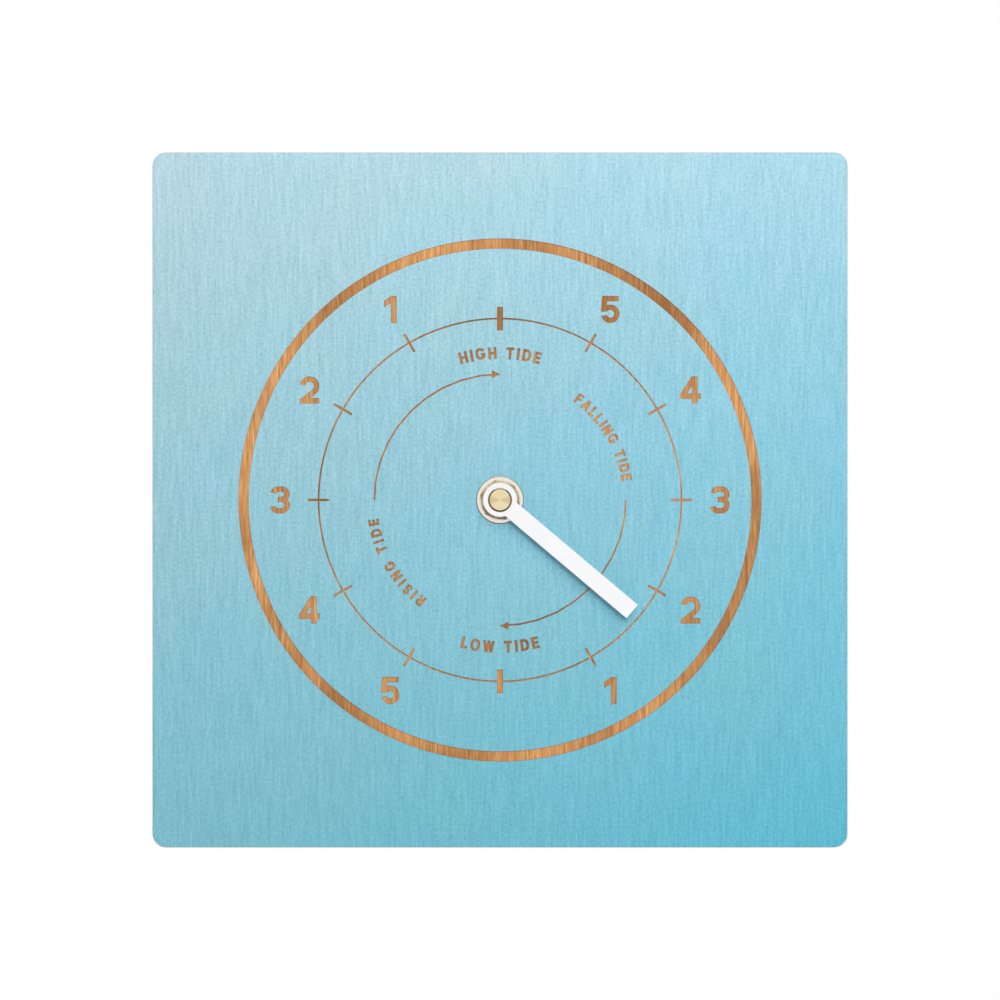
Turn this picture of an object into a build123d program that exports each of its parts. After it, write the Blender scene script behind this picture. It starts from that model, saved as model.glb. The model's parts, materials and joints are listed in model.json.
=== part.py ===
from build123d import *

import os
from math import asin, atan2, cos, degrees, hypot, pi, radians, sin, sqrt

# A wall-hung tide clock: a square engraved board, one hand, and a battery movement behind it.
# Millimetres. The origin is on the hand's axis, in the plane of the wall that the clock hangs on.
# +X is to the right as seen from the front, +Z is up, and the dial faces -Y.
# Along Y, "front" is the more negative end of a piece and "rear" the end nearer the wall.

# Fits and cuts
overrun = 1.0
sleeve_clearance = 0.06
pivot_clearance = 0.05
end_shake = 0.1
lid_gap = 0.1

# Board and its engraving
board_side = 200.0
board_thickness = 5.0
board_corner_radius = 4.0
board_hole_clearance = 0.2
engraving_depth = 0.3
ring_radius = 73.8
ring_width = 3.0
hour_circle_radius = 52.2
fine_line = 0.5
tick_count = 12
tick_length = 5.9
tick_width = 0.7
tide_mark_length = 6.8
tide_mark_width = 1.7
arrow_radius = 36.2
arrow_head_length = 2.3
arrow_head_width = 2.3
arrow_sweep = 90

# Bush, washer, nut and rubber pad that clamp the board
bush_radius = 4.0
bush_flange_radius = 6.5
bush_projection = 0.4
washer_radius = 6.85
washer_thickness = 0.5
nut_across_flats = 10.2
nut_height = 2.2
nut_turn = 45
gasket_side = 26.0
gasket_thickness = 0.8
gasket_hole_clearance = 0.3

# Hand and cap
hand_length = 49.6
hand_width = 5.0
hand_thickness = 0.5
hand_hub_radius = 4.9
hand_turn = -40.16
collar_radius = 3.6
collar_height = 0.4
hand_gap = 0.3
cap_radius = 3.45
cap_height = 0.8
cap_bevel = 0.4
cap_dish_radius = 2.6
cap_dish_depth = 0.15
cap_stem_length = 3.0

# Wheel work: teeth, distances between arbors and the thicknesses of the layers
tide_teeth = 28
reduction_pinion_teeth = 7
reduction_wheel_teeth = 24
cannon_teeth = 8
setting_teeth = 8
centre_teeth = 48
third_pinion_teeth = 6
third_wheel_teeth = 45
second_pinion_teeth = 6
second_wheel_teeth = 30
intermediate_pinion_teeth = 6
intermediate_wheel_teeth = 36
rotor_pinion_teeth = 6
reduction_distance = 7.5
third_distance = 9.0
intermediate_step = 0.6
rotor_distance = 5.6
third_turn = 160
intermediate_turn = 60
rotor_turn = 60
half_turn = 180
floor_gap = 0.4
layer_gap = 0.6
motion_thickness = 1.0
wheel_thickness = 0.8
magnet_thickness = 1.6
bridge_thickness = 1.0

# Tooth form, in shares of the circular pitch (halves) and of the module (heights)
wheel_tooth_shares = {"root_half": 0.28, "tip_half": 0.12, "height": 0.9, "depth": 1.3}
leaf_shares = {"root_half": 0.2, "tip_half": 0.12, "height": 0.75, "depth": 1.35}

# Arbors and their bearings
arbor_radius = 0.4
pivot_length = 0.8
second_arbor_radius = 0.5
tide_tube_radius = 2.5
tide_boss_radius = 3.4
cannon_pivot_radius = 1.5
cannon_pivot_length = 6.0
cannon_sleeve_radius = 1.2
cannon_sleeve_projection = 0.3
second_arbor_setback = 0.5
reduction_stud_radius = 0.6
post_radius = 1.3
slim_post_radius = 0.95
post_gap = 0.3

# Setting knob
setting_shaft_radius = 1.2
setting_pivot_radius = 0.6
setting_boss_radius = 1.6
knob_radius = 5.0
knob_height = 2.9
knob_sink = 0.4
knob_float = 0.3
knob_roof = 1.0
knob_flute_count = 18
knob_flute_depth = 0.35
finger_room = 2.0
cup_wall = 1.2

# Motor: rotor magnet, stator, coil
magnet_radius = 1.9
stator_gap = 0.5
stator_thickness = 0.8
stator_half_depth = 3.2
stator_leg_centre = 9.0
stator_leg_half_width = 2.0
stator_notch = 0.3
coil_rise = 8.34
coil_side_gap = 0.3
core_half_height = 1.5
core_thickness = 0.8
bobbin_wall = 0.5
bobbin_half = 3.2
bobbin_flange = 0.6
winding_half = 2.7
winding_corner = 1.0

# Bridge, and the square pillars and pegs that hold it and the coil
bridge_arm_half_width = 2.5
pillar_half_width = 1.6
pillar_gap = 1.0
low_pillar_turn = -130
high_pillar_turn = 140
peg_half_width = 0.7
peg_rise = 0.5

# Circuit board
pcb_rise = 3.0
pcb_thickness = 0.8
pcb_margin = 0.3
pcb_gap = 0.7
pcb_ledge = 3.0
pcb_hole_clearance = 0.2
chip_radius = 2.6
chip_height = 1.0
crystal_radius = 1.0
crystal_length = 6.0

# Battery and contacts
battery_radius = 7.1
battery_length = 50.2
battery_nub_radius = 2.75
battery_nub_length = 1.0
battery_edge = 0.5
battery_sink = 0.6
battery_rest_gap = 0.15
battery_side_gap = 0.4
cradle_height = 0.5
cradle_rib = 1.2
cradle_place_shares = (-0.3, 0.3)
contact_room = 1.7
contact_thickness = 0.3
contact_bulge = 1.2
contact_tab_length = 3.6
contact_touch_gap = 0.1
contact_reach = 1.2
contact_foot = 4.8

# Case
case_wall = 1.2
case_corner_radius = 3.0
cover_thickness = 1.5
bay_wall = 1.0
cup_margin = 2.5
coil_top_gap = 2.1
cover_gap = 1.2
clip_width = 5.0
clip_thickness = 0.8
clip_length = 3.4
clip_barb = 0.5
clip_barb_length = 1.0
clip_place_shares = (0.2, 0.8)

# Hanger
hanger_thickness = 2.0
hanger_hole_radius = 4.2
hanger_slot_radius = 2.3
hanger_rim = 3.0
hanger_reach = 5.5
hanger_slot_rise = 6.0

# Depth of the case: the larger of what the battery and the wheel work need
layer_table = (
    ("tide", motion_thickness),
    ("reduction", motion_thickness),
    ("centre", wheel_thickness),
    ("third", wheel_thickness),
    ("second", wheel_thickness),
    ("intermediate", wheel_thickness),
    ("magnet", magnet_thickness),
    ("bridge", bridge_thickness),
)
train_depth = floor_gap + sum(thickness for _, thickness in layer_table) + layer_gap * (len(layer_table) - 1)
train_room = train_depth + cover_gap
battery_room = cradle_height + 2 * battery_radius + battery_sink - cover_thickness
case_depth = case_wall + max(train_room, battery_room) + cover_thickness

# Places along Y, from the wall to the front of the cap
cover_inner = -cover_thickness
floor_y = case_wall - case_depth
case_front_y = -case_depth
board_back = case_front_y - gasket_thickness
board_face = board_back - board_thickness
washer_face = board_face - washer_thickness
nut_face = washer_face - nut_height
bush_face = nut_face - bush_projection
hand_back = bush_face - hand_gap - collar_height
hand_face = hand_back - hand_thickness
cap_face = hand_face - cap_height


def stacked_layers():
    """Front and rear of each layer of wheels, from the case's floor towards the wall."""
    layers = {}
    front = floor_y + floor_gap
    for name, thickness in layer_table:
        layers[name] = (front, front + thickness)
        front += thickness + layer_gap
    return layers


layer = stacked_layers()
stator_front = (sum(layer["magnet"]) - stator_thickness) / 2
stator_rear = stator_front + stator_thickness
core_front = stator_front - core_thickness
pcb_front = floor_y + pcb_rise
pcb_rear = pcb_front + pcb_thickness
knob_rear = -knob_sink
knob_front = knob_rear - knob_height
cup_floor_rear = knob_front - knob_float
cup_floor_front = cup_floor_rear - cup_wall


def away(place, distance, degrees):
    """The point at a distance and an angle from another, seen from the front."""
    return (place[0] + distance * cos(radians(degrees)), place[1] + distance * sin(radians(degrees)))


# Places across the dial, as (x, z)
hand_axis = (0, 0)
intermediate_distance = third_distance + intermediate_step
reduction_axis = away(hand_axis, reduction_distance, 0)
setting_axis = away(reduction_axis, reduction_distance, 0)
third_axis = away(hand_axis, third_distance, third_turn)
intermediate_axis = away(hand_axis, intermediate_distance, intermediate_turn)
rotor_axis = away(intermediate_axis, rotor_distance, rotor_turn)


def module_of(distance, teeth, other_teeth):
    """The module that puts two meshing wheels at this distance."""
    return 2 * distance / (teeth + other_teeth)


tide_module = module_of(reduction_distance, tide_teeth, reduction_pinion_teeth)
reduction_module = module_of(reduction_distance, reduction_wheel_teeth, cannon_teeth)
centre_module = module_of(third_distance, centre_teeth, third_pinion_teeth)
third_module = module_of(third_distance, third_wheel_teeth, second_pinion_teeth)
second_module = module_of(intermediate_distance, second_wheel_teeth, intermediate_pinion_teeth)
rotor_module = module_of(rotor_distance, intermediate_wheel_teeth, rotor_pinion_teeth)

cup_radius = knob_radius + finger_room
cup_outer_radius = cup_radius + cup_wall
compartment_bottom = -(cup_outer_radius + cup_margin)
bay_top = compartment_bottom - bay_wall
battery_z = bay_top - battery_side_gap - battery_radius
battery_y = -(battery_sink + battery_radius)
bay_bottom = battery_z - battery_radius - battery_side_gap
case_bottom = bay_bottom - case_wall
coil_z = rotor_axis[1] + coil_rise
compartment_top = coil_z + bobbin_half + coil_top_gap
case_top = compartment_top + case_wall
right_pillar_x = rotor_axis[0] + stator_leg_centre + stator_leg_half_width + pillar_half_width + pillar_gap
works_half_width = right_pillar_x + bridge_arm_half_width + pillar_gap + contact_thickness
inner_half_width = max(battery_length / 2 + contact_room, works_half_width)
case_half_width = inner_half_width + case_wall
inner_corner_radius = case_corner_radius - case_wall
coil_fixings = [(rotor_axis[0] + side * stator_leg_centre, coil_z) for side in (-1, 1)]

third_tip_radius = third_module * (third_wheel_teeth / 2 + wheel_tooth_shares["height"])
pillar_reach = third_tip_radius + pillar_half_width * sqrt(2) + pillar_gap
bridge_fixings = [
    away(third_axis, pillar_reach, low_pillar_turn),
    away(third_axis, pillar_reach, high_pillar_turn),
    (right_pillar_x, rotor_axis[1] - bridge_arm_half_width),
]


# Building helpers
def slab(outline, front, rear):
    """An outline drawn as seen from the front, made solid between two planes."""
    plane = Plane(origin=(0, rear, 0), x_dir=(1, 0, 0), z_dir=(0, -1, 0))
    return extrude(plane * outline, amount=rear - front)


def bar(outline, left, right):
    """An outline drawn as (y, z), made solid between two places along X."""
    plane = Plane(origin=(left, 0, 0), x_dir=(0, 1, 0), z_dir=(1, 0, 0))
    return extrude(plane * outline, amount=right - left)


def disc(radius, place=hand_axis):
    return Pos(*place) * Circle(radius)


def square(half_width, place):
    return Pos(*place) * Rectangle(2 * half_width, 2 * half_width)


def block(left, right, bottom, top):
    return Pos((left + right) / 2, (bottom + top) / 2) * Rectangle(right - left, top - bottom)


def rounded_block(left, right, bottom, top, radius):
    return Pos((left + right) / 2, (bottom + top) / 2) * RectangleRounded(right - left, top - bottom, radius)


def turned(profile, place=hand_axis):
    """A turned piece: the profile's points are (radius, y), swung about an axis along Y."""
    outline = make_face(Polyline(*profile, close=True))
    return Pos(place[0], 0, place[1]) * revolve(outline, axis=Axis.Y)


def shaft(stations, place=hand_axis):
    """A stepped shaft: stations are (radius, front, rear), in order from the front."""
    profile = [(0, stations[0][1])]
    for radius, front, rear in stations:
        profile += [(radius, front), (radius, rear)]
    profile.append((0, stations[-1][2]))
    return turned(profile, place)


def tooth_points(teeth, module, first_tooth, shares):
    """The corners of every tooth in turn: up one straight flank, across the tip and down the other."""
    pitch_radius = teeth * module / 2
    rows = [
        (pitch_radius - shares["depth"] * module, shares["root_half"] * pi * module),
        (pitch_radius + shares["height"] * module, shares["tip_half"] * pi * module),
    ]
    points = []
    for number in range(teeth):
        middle = radians(first_tooth) + 2 * pi * number / teeth
        rising = [(radius, middle - asin(half / radius)) for radius, half in rows]
        falling = [(radius, middle + asin(half / radius)) for radius, half in reversed(rows)]
        points += [(radius * cos(angle), radius * sin(angle)) for radius, angle in rising + falling]
    return points


def toothed(teeth, module, first_tooth, place, span, shares=wheel_tooth_shares):
    """A toothed disc between the two planes of its span."""
    outline = make_face(Polyline(*tooth_points(teeth, module, first_tooth, shares), close=True))
    return slab(Pos(*place) * outline, *span)


def leaves_up_to(name, wheel_name):
    """A pinion's span: from the front of its own layer to the wheel that it carries."""
    return layer[name][0], layer[wheel_name][0]


def gap_facing(direction, teeth):
    """The first tooth's angle that leaves a gap in this direction."""
    return direction + half_turn / teeth


# Board
def engraving():
    """The ring, the hour circle with its ticks, and the two arrows."""
    ring = Circle(ring_radius + ring_width / 2) - Circle(ring_radius - ring_width / 2)
    circle = Circle(hour_circle_radius + fine_line / 2) - Circle(hour_circle_radius - fine_line / 2)
    cuts = ring + circle
    for number in range(tick_count):
        upright = number % (tick_count // 4) == 0 and number % (tick_count // 2) != 0
        length = tide_mark_length if upright else tick_length
        width = tide_mark_width if upright else tick_width
        cuts += Rot(0, 0, 360 * number / tick_count) * Pos(hour_circle_radius, 0) * Rectangle(length, width)
    arc = CenterArc((0, 0), arrow_radius, 90, arrow_sweep)
    head = Polygon(
        (0, arrow_radius),
        (-arrow_head_length, arrow_radius + arrow_head_width / 2),
        (-arrow_head_length, arrow_radius - arrow_head_width / 2),
        align=None,
    )
    arrow = trace(arc, line_width=fine_line) + head
    return cuts + arrow + Rot(0, 0, half_turn) * arrow


def make_board():
    blank = slab(RectangleRounded(board_side, board_side, board_corner_radius), board_face, board_back)
    blank -= slab(disc(bush_radius + board_hole_clearance), board_face - overrun, board_back + overrun)
    return blank - slab(engraving(), board_face - overrun, board_face + engraving_depth)


def make_brass_washer():
    return slab(disc(washer_radius) - disc(bush_radius), washer_face, board_face)


def make_hex_nut():
    """A hexagon with its front corners turned off."""
    corner_radius = nut_across_flats / 2 / cos(pi / 6)
    outline = Rot(0, 0, nut_turn) * RegularPolygon(corner_radius, 6)
    flat_radius = nut_across_flats / 2
    lathe = turned([
        (0, washer_face),
        (0, nut_face),
        (flat_radius, nut_face),
        (corner_radius * 2, washer_face),
    ])
    return (slab(outline, nut_face, washer_face) & lathe) - slab(disc(bush_radius), nut_face, washer_face)


def make_rubber_gasket():
    outline = Rectangle(gasket_side, gasket_side) - disc(bush_flange_radius + gasket_hole_clearance)
    return slab(outline, board_back, case_front_y)


def make_threaded_bush():
    """The brass bush in the case's front wall: barrel, flange, and the threaded nose for the nut."""
    bore = tide_tube_radius + sleeve_clearance
    return turned([
        (bore, bush_face),
        (bush_radius, bush_face),
        (bush_radius, board_back),
        (bush_flange_radius, board_back),
        (bush_flange_radius, case_front_y),
        (bush_radius, case_front_y),
        (bush_radius, floor_y),
        (bore, floor_y),
    ])


# Hand
def make_tide_hand():
    """A flat strip with a round hub, and a collar behind that grips the tube."""
    strip = Rot(0, 0, hand_turn) * block(0, hand_length, -hand_width / 2, hand_width / 2)
    plate = slab(strip + disc(hand_hub_radius), hand_face, hand_back)
    collar_rear = hand_back + collar_height
    collar = slab(disc(collar_radius), hand_back, collar_rear)
    return plate + collar - slab(disc(tide_tube_radius), hand_face - overrun, collar_rear + overrun)


def make_hand_cap():
    """The dished brass cap, with a stem that plugs the tube."""
    stem = cannon_pivot_radius + sleeve_clearance
    return turned([
        (0, cap_face + cap_dish_depth),
        (cap_dish_radius, cap_face),
        (cap_radius - cap_bevel, cap_face),
        (cap_radius, cap_face + cap_bevel),
        (cap_radius, hand_face),
        (stem, hand_face),
        (stem, hand_face + cap_stem_length),
        (0, hand_face + cap_stem_length),
    ])


# Motion work: from the cannon pinion down to the hand
def make_tide_wheel():
    """The hand's wheel and its long tube, which runs in the bush."""
    front, rear = layer["tide"]
    wheel = toothed(tide_teeth, tide_module, 0, hand_axis, layer["tide"])
    boss = slab(disc(tide_boss_radius), floor_y + end_shake, front)
    tube = slab(disc(tide_tube_radius), hand_face, rear)
    bore = slab(disc(cannon_pivot_radius + sleeve_clearance), hand_face - overrun, rear + overrun)
    return wheel + boss + tube - bore


def make_reduction_wheel():
    """A large wheel and a pinion in one, loose on a stud of the case."""
    pinion = toothed(
        reduction_pinion_teeth,
        tide_module,
        gap_facing(half_turn, reduction_pinion_teeth),
        reduction_axis,
        leaves_up_to("tide", "reduction"),
        leaf_shares,
    )
    wheel = toothed(reduction_wheel_teeth, reduction_module, 0, reduction_axis, layer["reduction"])
    hub_radius = tide_module * (reduction_pinion_teeth / 2 - leaf_shares["depth"])
    hub = slab(disc(hub_radius, reduction_axis), floor_y + end_shake, layer["tide"][0])
    bore = disc(reduction_stud_radius + pivot_clearance, reduction_axis)
    return pinion + wheel + hub - slab(bore, floor_y, layer["reduction"][1] + overrun)


def make_cannon_pinion():
    """The pinion that the centre wheel grips: a pivot in the hand's tube, and a sleeve behind."""
    front, rear = layer["reduction"][0], layer["centre"][0] - end_shake
    tip, tail = front - cannon_pivot_length, layer["centre"][1] + cannon_sleeve_projection
    pinion = toothed(
        cannon_teeth, reduction_module, gap_facing(0, cannon_teeth), hand_axis, (front, rear), leaf_shares
    )
    pivot = slab(disc(cannon_pivot_radius), tip, front)
    sleeve = slab(disc(cannon_sleeve_radius), rear, tail)
    bore = disc(second_arbor_radius + pivot_clearance)
    return pinion + pivot + sleeve - slab(bore, tip - overrun, tail + overrun)


# Going train: from the motor to the centre wheel
def make_centre_wheel():
    wheel = toothed(centre_teeth, centre_module, third_turn, hand_axis, layer["centre"])
    return wheel - slab(disc(cannon_sleeve_radius + pivot_clearance), *layer["centre"])


def arbor(place, name):
    """A plain steel arbor: its front end in the post below this layer, its rear end in the bridge."""
    front, rear = post_top_below(name) - pivot_length, layer["bridge"][0] + pivot_length
    return slab(disc(arbor_radius, place), front, rear)


def post_top_below(name):
    return layer[name][0] - post_gap


def make_third_wheel():
    pinion_turn = gap_facing(third_turn + half_turn, third_pinion_teeth)
    span = leaves_up_to("centre", "third")
    pinion = toothed(third_pinion_teeth, centre_module, pinion_turn, third_axis, span, leaf_shares)
    wheel = toothed(third_wheel_teeth, third_module, third_turn + half_turn, third_axis, layer["third"])
    return pinion + wheel + arbor(third_axis, "centre")


def make_second_wheel():
    """The second wheel's arbor starts inside the cannon pinion and ends in the bridge."""
    pinion_turn = gap_facing(third_turn, second_pinion_teeth)
    span = leaves_up_to("third", "second")
    pinion = toothed(second_pinion_teeth, third_module, pinion_turn, hand_axis, span, leaf_shares)
    wheel = toothed(second_wheel_teeth, second_module, intermediate_turn, hand_axis, layer["second"])
    front = layer["reduction"][0] - cannon_pivot_length + second_arbor_setback
    rod = slab(disc(second_arbor_radius), front, layer["bridge"][0] + pivot_length)
    return pinion + wheel + rod


def make_intermediate_wheel():
    pinion_turn = gap_facing(intermediate_turn + half_turn, intermediate_pinion_teeth)
    span = leaves_up_to("second", "intermediate")
    pinion = toothed(
        intermediate_pinion_teeth, second_module, pinion_turn, intermediate_axis, span, leaf_shares
    )
    wheel = toothed(
        intermediate_wheel_teeth, rotor_module, rotor_turn, intermediate_axis, layer["intermediate"]
    )
    return pinion + wheel + arbor(intermediate_axis, "second")


def make_rotor_pinion():
    pinion_turn = gap_facing(rotor_turn + half_turn, rotor_pinion_teeth)
    span = leaves_up_to("intermediate", "magnet")
    pinion = toothed(rotor_pinion_teeth, rotor_module, pinion_turn, rotor_axis, span, leaf_shares)
    return pinion + arbor(rotor_axis, "intermediate")


def make_rotor_magnet():
    return slab(disc(magnet_radius, rotor_axis) - disc(arbor_radius, rotor_axis), *layer["magnet"])


# Setting knob
def make_setting_pinion():
    """The pinion at the front end of the knob's shaft."""
    pinion_turn = gap_facing(half_turn, setting_teeth)
    span = layer["reduction"]
    pinion = toothed(setting_teeth, reduction_module, pinion_turn, setting_axis, span, leaf_shares)
    post_top = post_top_below("reduction") + end_shake
    rod = shaft([
        (setting_pivot_radius, post_top - pivot_length, post_top),
        (setting_shaft_radius, post_top, knob_rear - knob_roof),
    ], setting_axis)
    return pinion + rod


def make_setting_knob():
    """A fluted knob, sunk below the wall plane."""
    grip = disc(knob_radius)
    for number in range(knob_flute_count):
        notch = Rot(0, 0, 45) * Rectangle(2 * knob_flute_depth, 2 * knob_flute_depth)
        grip -= Pos(*away(hand_axis, knob_radius, 360 * number / knob_flute_count)) * notch
    knob = slab(Pos(*setting_axis) * grip, knob_front, knob_rear)
    return knob - slab(disc(setting_shaft_radius, setting_axis), knob_front, knob_rear - knob_roof)


# Motor
def make_stator_plate():
    """A soft-iron plate: the rotor's hole with its two notches, and two legs up to the coil."""
    x, z = rotor_axis
    outer = stator_leg_centre + stator_leg_half_width
    inner = stator_leg_centre - stator_leg_half_width
    outline = block(x - outer, x + outer, z - stator_half_depth, coil_z + stator_leg_half_width)
    outline -= block(x - inner, x + inner, z + stator_half_depth, coil_z + stator_leg_half_width)
    hole_radius = magnet_radius + stator_gap
    outline -= disc(hole_radius, rotor_axis)
    for turn in (45, 225):
        outline -= disc(stator_notch, away(rotor_axis, hole_radius, turn))
    for place in coil_fixings:
        outline -= square(peg_half_width + pivot_clearance, place)
    return slab(outline, stator_front, stator_rear)


def make_coil_core():
    left, right = coil_fixings[0][0], coil_fixings[1][0]
    ends = stator_leg_half_width
    outline = block(left - ends, right + ends, coil_z - core_half_height, coil_z + core_half_height)
    for place in coil_fixings:
        outline -= square(peg_half_width + pivot_clearance, place)
    return slab(outline, core_front, stator_front)


def coil_span():
    """Left and right end of the bobbin, between the stator's legs."""
    reach = stator_leg_centre - stator_leg_half_width - coil_side_gap
    return rotor_axis[0] - reach, rotor_axis[0] + reach


coil_middle = ((core_front + stator_front) / 2, coil_z)


def core_slot(wall=0):
    """The core's section, or with a wall the spool about it, drawn as (y, z)."""
    return Pos(*coil_middle) * Rectangle(core_thickness + 2 * wall, 2 * (core_half_height + wall))


def make_coil_bobbin():
    left, right = coil_span()
    spool = bar(core_slot(bobbin_wall), left, right)
    spool += bar(square(bobbin_half, coil_middle), left, left + bobbin_flange)
    spool += bar(square(bobbin_half, coil_middle), right - bobbin_flange, right)
    return spool - bar(core_slot(), left - overrun, right + overrun)


def make_coil_winding():
    left, right = coil_span()
    outline = Pos(*coil_middle) * RectangleRounded(2 * winding_half, 2 * winding_half, winding_corner)
    return bar(outline - core_slot(bobbin_wall), left + bobbin_flange, right - bobbin_flange)


# Circuit board
pcb_bottom = rotor_axis[1] + post_radius + pcb_gap
pcb_top = compartment_top - pcb_gap
pcb_half_width = inner_half_width - pcb_margin
pcb_middle = (pcb_bottom + pcb_top) / 2
chip_place = ((coil_fixings[0][0] - pcb_half_width) / 2, pcb_middle)


def make_circuit_board():
    outline = block(-pcb_half_width, pcb_half_width, pcb_bottom, pcb_top)
    for place in coil_fixings:
        outline -= square(pillar_half_width + pcb_hole_clearance, place)
    return slab(outline, pcb_front, pcb_rear)


def make_clock_chip():
    """The domed resin drop over the chip."""
    return turned([
        (0, pcb_rear),
        (chip_radius, pcb_rear),
        (chip_radius - chip_height, pcb_rear + chip_height),
        (0, pcb_rear + chip_height),
    ], chip_place)


def make_quartz_crystal():
    """The slim can that lies on the board, beside the coil."""
    right = coil_fixings[0][0] - pillar_half_width - 2 * crystal_radius
    outline = Pos(pcb_rear + crystal_radius, pcb_bottom + 2 * crystal_radius) * Circle(crystal_radius)
    return bar(outline, right - crystal_length, right)


# Battery and contacts
def make_battery():
    """A penlight cell lying along X, its nub to the right."""
    left = -battery_length / 2
    shoulder = battery_length / 2 - battery_nub_length
    profile = [
        (left, 0),
        (left, battery_radius - battery_edge),
        (left + battery_edge, battery_radius),
        (shoulder - battery_edge, battery_radius),
        (shoulder, battery_radius - battery_edge),
        (shoulder, battery_nub_radius),
        (shoulder + battery_nub_length, battery_nub_radius),
        (shoulder + battery_nub_length, 0),
    ]
    cell = revolve(make_face(Polyline(*profile, close=True)), axis=Axis.X)
    return Pos(0, battery_y, battery_z) * cell


def contact_strip(side):
    """A bent spring strip from the battery's end, up the case's side wall, to a tab on the circuit board."""
    wall = inner_half_width - contact_thickness / 2
    touch = battery_length / 2 + contact_touch_gap + contact_thickness / 2
    tab_z = pcb_bottom + contact_bulge
    knee = bay_top - battery_side_gap
    route = Polyline(
        (side * (wall - contact_tab_length), tab_z),
        (side * wall, tab_z),
        (side * wall, knee),
        (side * touch, battery_z + contact_bulge),
        (side * touch, battery_z - contact_bulge),
        (side * wall, battery_z - contact_foot),
    )
    return slab(trace(route, line_width=contact_thickness), pcb_rear, battery_y + contact_reach)


def make_positive_contact():
    return contact_strip(1)


def make_negative_contact():
    return contact_strip(-1)


# Bridge
def arm(start, end):
    """A straight arm whose square ends reach past the two places that it joins."""
    length = hypot(end[0] - start[0], end[1] - start[1]) + 2 * bridge_arm_half_width
    turn = degrees(atan2(end[1] - start[1], end[0] - start[0]))
    middle = ((start[0] + end[0]) / 2, (start[1] + end[1]) / 2)
    return Pos(*middle) * Rot(0, 0, turn) * Rectangle(length, 2 * bridge_arm_half_width)


def make_train_bridge():
    """The moulded bridge that holds the rear pivots, staked on three pillars."""
    low, high, right = bridge_fixings
    outline = Sketch() + [
        arm(low, third_axis),
        arm(third_axis, high),
        arm(third_axis, hand_axis),
        arm(hand_axis, intermediate_axis),
        arm(intermediate_axis, rotor_axis),
        arm(rotor_axis, right),
    ]
    outline -= disc(second_arbor_radius + pivot_clearance, hand_axis)
    for place in (third_axis, intermediate_axis, rotor_axis):
        outline -= disc(arbor_radius + pivot_clearance, place)
    for place in bridge_fixings:
        outline -= square(peg_half_width + pivot_clearance, place)
    return slab(outline, *layer["bridge"])


# Case
def clip_places():
    """The middle of each snap tongue along Z, and its side."""
    height = compartment_top - compartment_bottom
    return [(side, compartment_bottom + share * height) for side in (-1, 1) for share in clip_place_shares]


clip_tip = cover_inner - clip_length
barb_front = clip_tip + lid_gap
barb_rear = barb_front + clip_barb_length


def make_cradle_rib(x):
    """A rib across the battery bay, hollowed to the battery's curve."""
    top = battery_y - battery_radius / 2
    outline = block(floor_y, top, bay_bottom, bay_top)
    outline -= Pos(battery_y, battery_z) * Circle(battery_radius + battery_rest_gap)
    return bar(outline, x - cradle_rib / 2, x + cradle_rib / 2)


def pillar(place, shoulder, held_rear):
    """A square pillar on the case's floor, and the peg on it that passes through what it holds."""
    foot = slab(square(pillar_half_width, place), floor_y, shoulder)
    return foot + slab(square(peg_half_width, place), shoulder, held_rear + peg_rise)


def pivot_post(place, radius, name, pivot=arbor_radius):
    """A post for a front pivot; the hole is as deep as the pivot is long."""
    top = post_top_below(name)
    hole = disc(pivot + pivot_clearance, place)
    return slab(disc(radius, place), floor_y, top) - slab(hole, top - pivot_length, top)


def make_case_front():
    """The moulded tray: wheel compartment above, battery bay below, and every post on its floor."""
    width, inner = case_half_width, inner_half_width
    tray = slab(rounded_block(-width, width, case_bottom, case_top, case_corner_radius), case_front_y, 0)
    hollow = rounded_block(-inner, inner, bay_bottom, compartment_top, inner_corner_radius)
    tray -= slab(hollow, floor_y, overrun)
    tray += slab(block(-inner, inner, bay_top, compartment_bottom), floor_y, 0)
    tray -= slab(block(-width, width, bay_top, case_top), cover_inner, overrun)
    tray -= slab(disc(bush_radius), case_front_y - overrun, floor_y + overrun)
    for share in cradle_place_shares:
        tray += make_cradle_rib(share * battery_length)
    for side in (-1, 1):
        wall = side * (inner - contact_thickness)
        notch = block(min(wall, side * inner), max(wall, side * inner), bay_top, compartment_bottom)
        tray -= slab(notch, pcb_rear, 0)
    for side, z in clip_places():
        left, right = sorted((side * inner, side * width))
        window = block(left, right, z - clip_width / 2 - lid_gap, z + clip_width / 2 + lid_gap)
        tray -= slab(window, barb_front - lid_gap, barb_rear + lid_gap)
    tray += pivot_post(third_axis, post_radius, "centre")
    tray += pivot_post(intermediate_axis, slim_post_radius, "second")
    tray += pivot_post(rotor_axis, post_radius, "intermediate")
    tray += pivot_post(setting_axis, setting_boss_radius, "reduction", setting_pivot_radius)
    tray += slab(disc(reduction_stud_radius, reduction_axis), floor_y, layer["reduction"][1] + end_shake)
    for place in bridge_fixings:
        tray += pillar(place, *layer["bridge"])
    for place in coil_fixings:
        tray += pillar(place, core_front, stator_rear)
    for side in (-1, 1):
        left, right = sorted((side * inner, side * (inner - pcb_ledge)))
        tray += slab(block(left, right, pcb_middle - pcb_ledge, pcb_middle + pcb_ledge), floor_y, pcb_front)
    return tray


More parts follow.
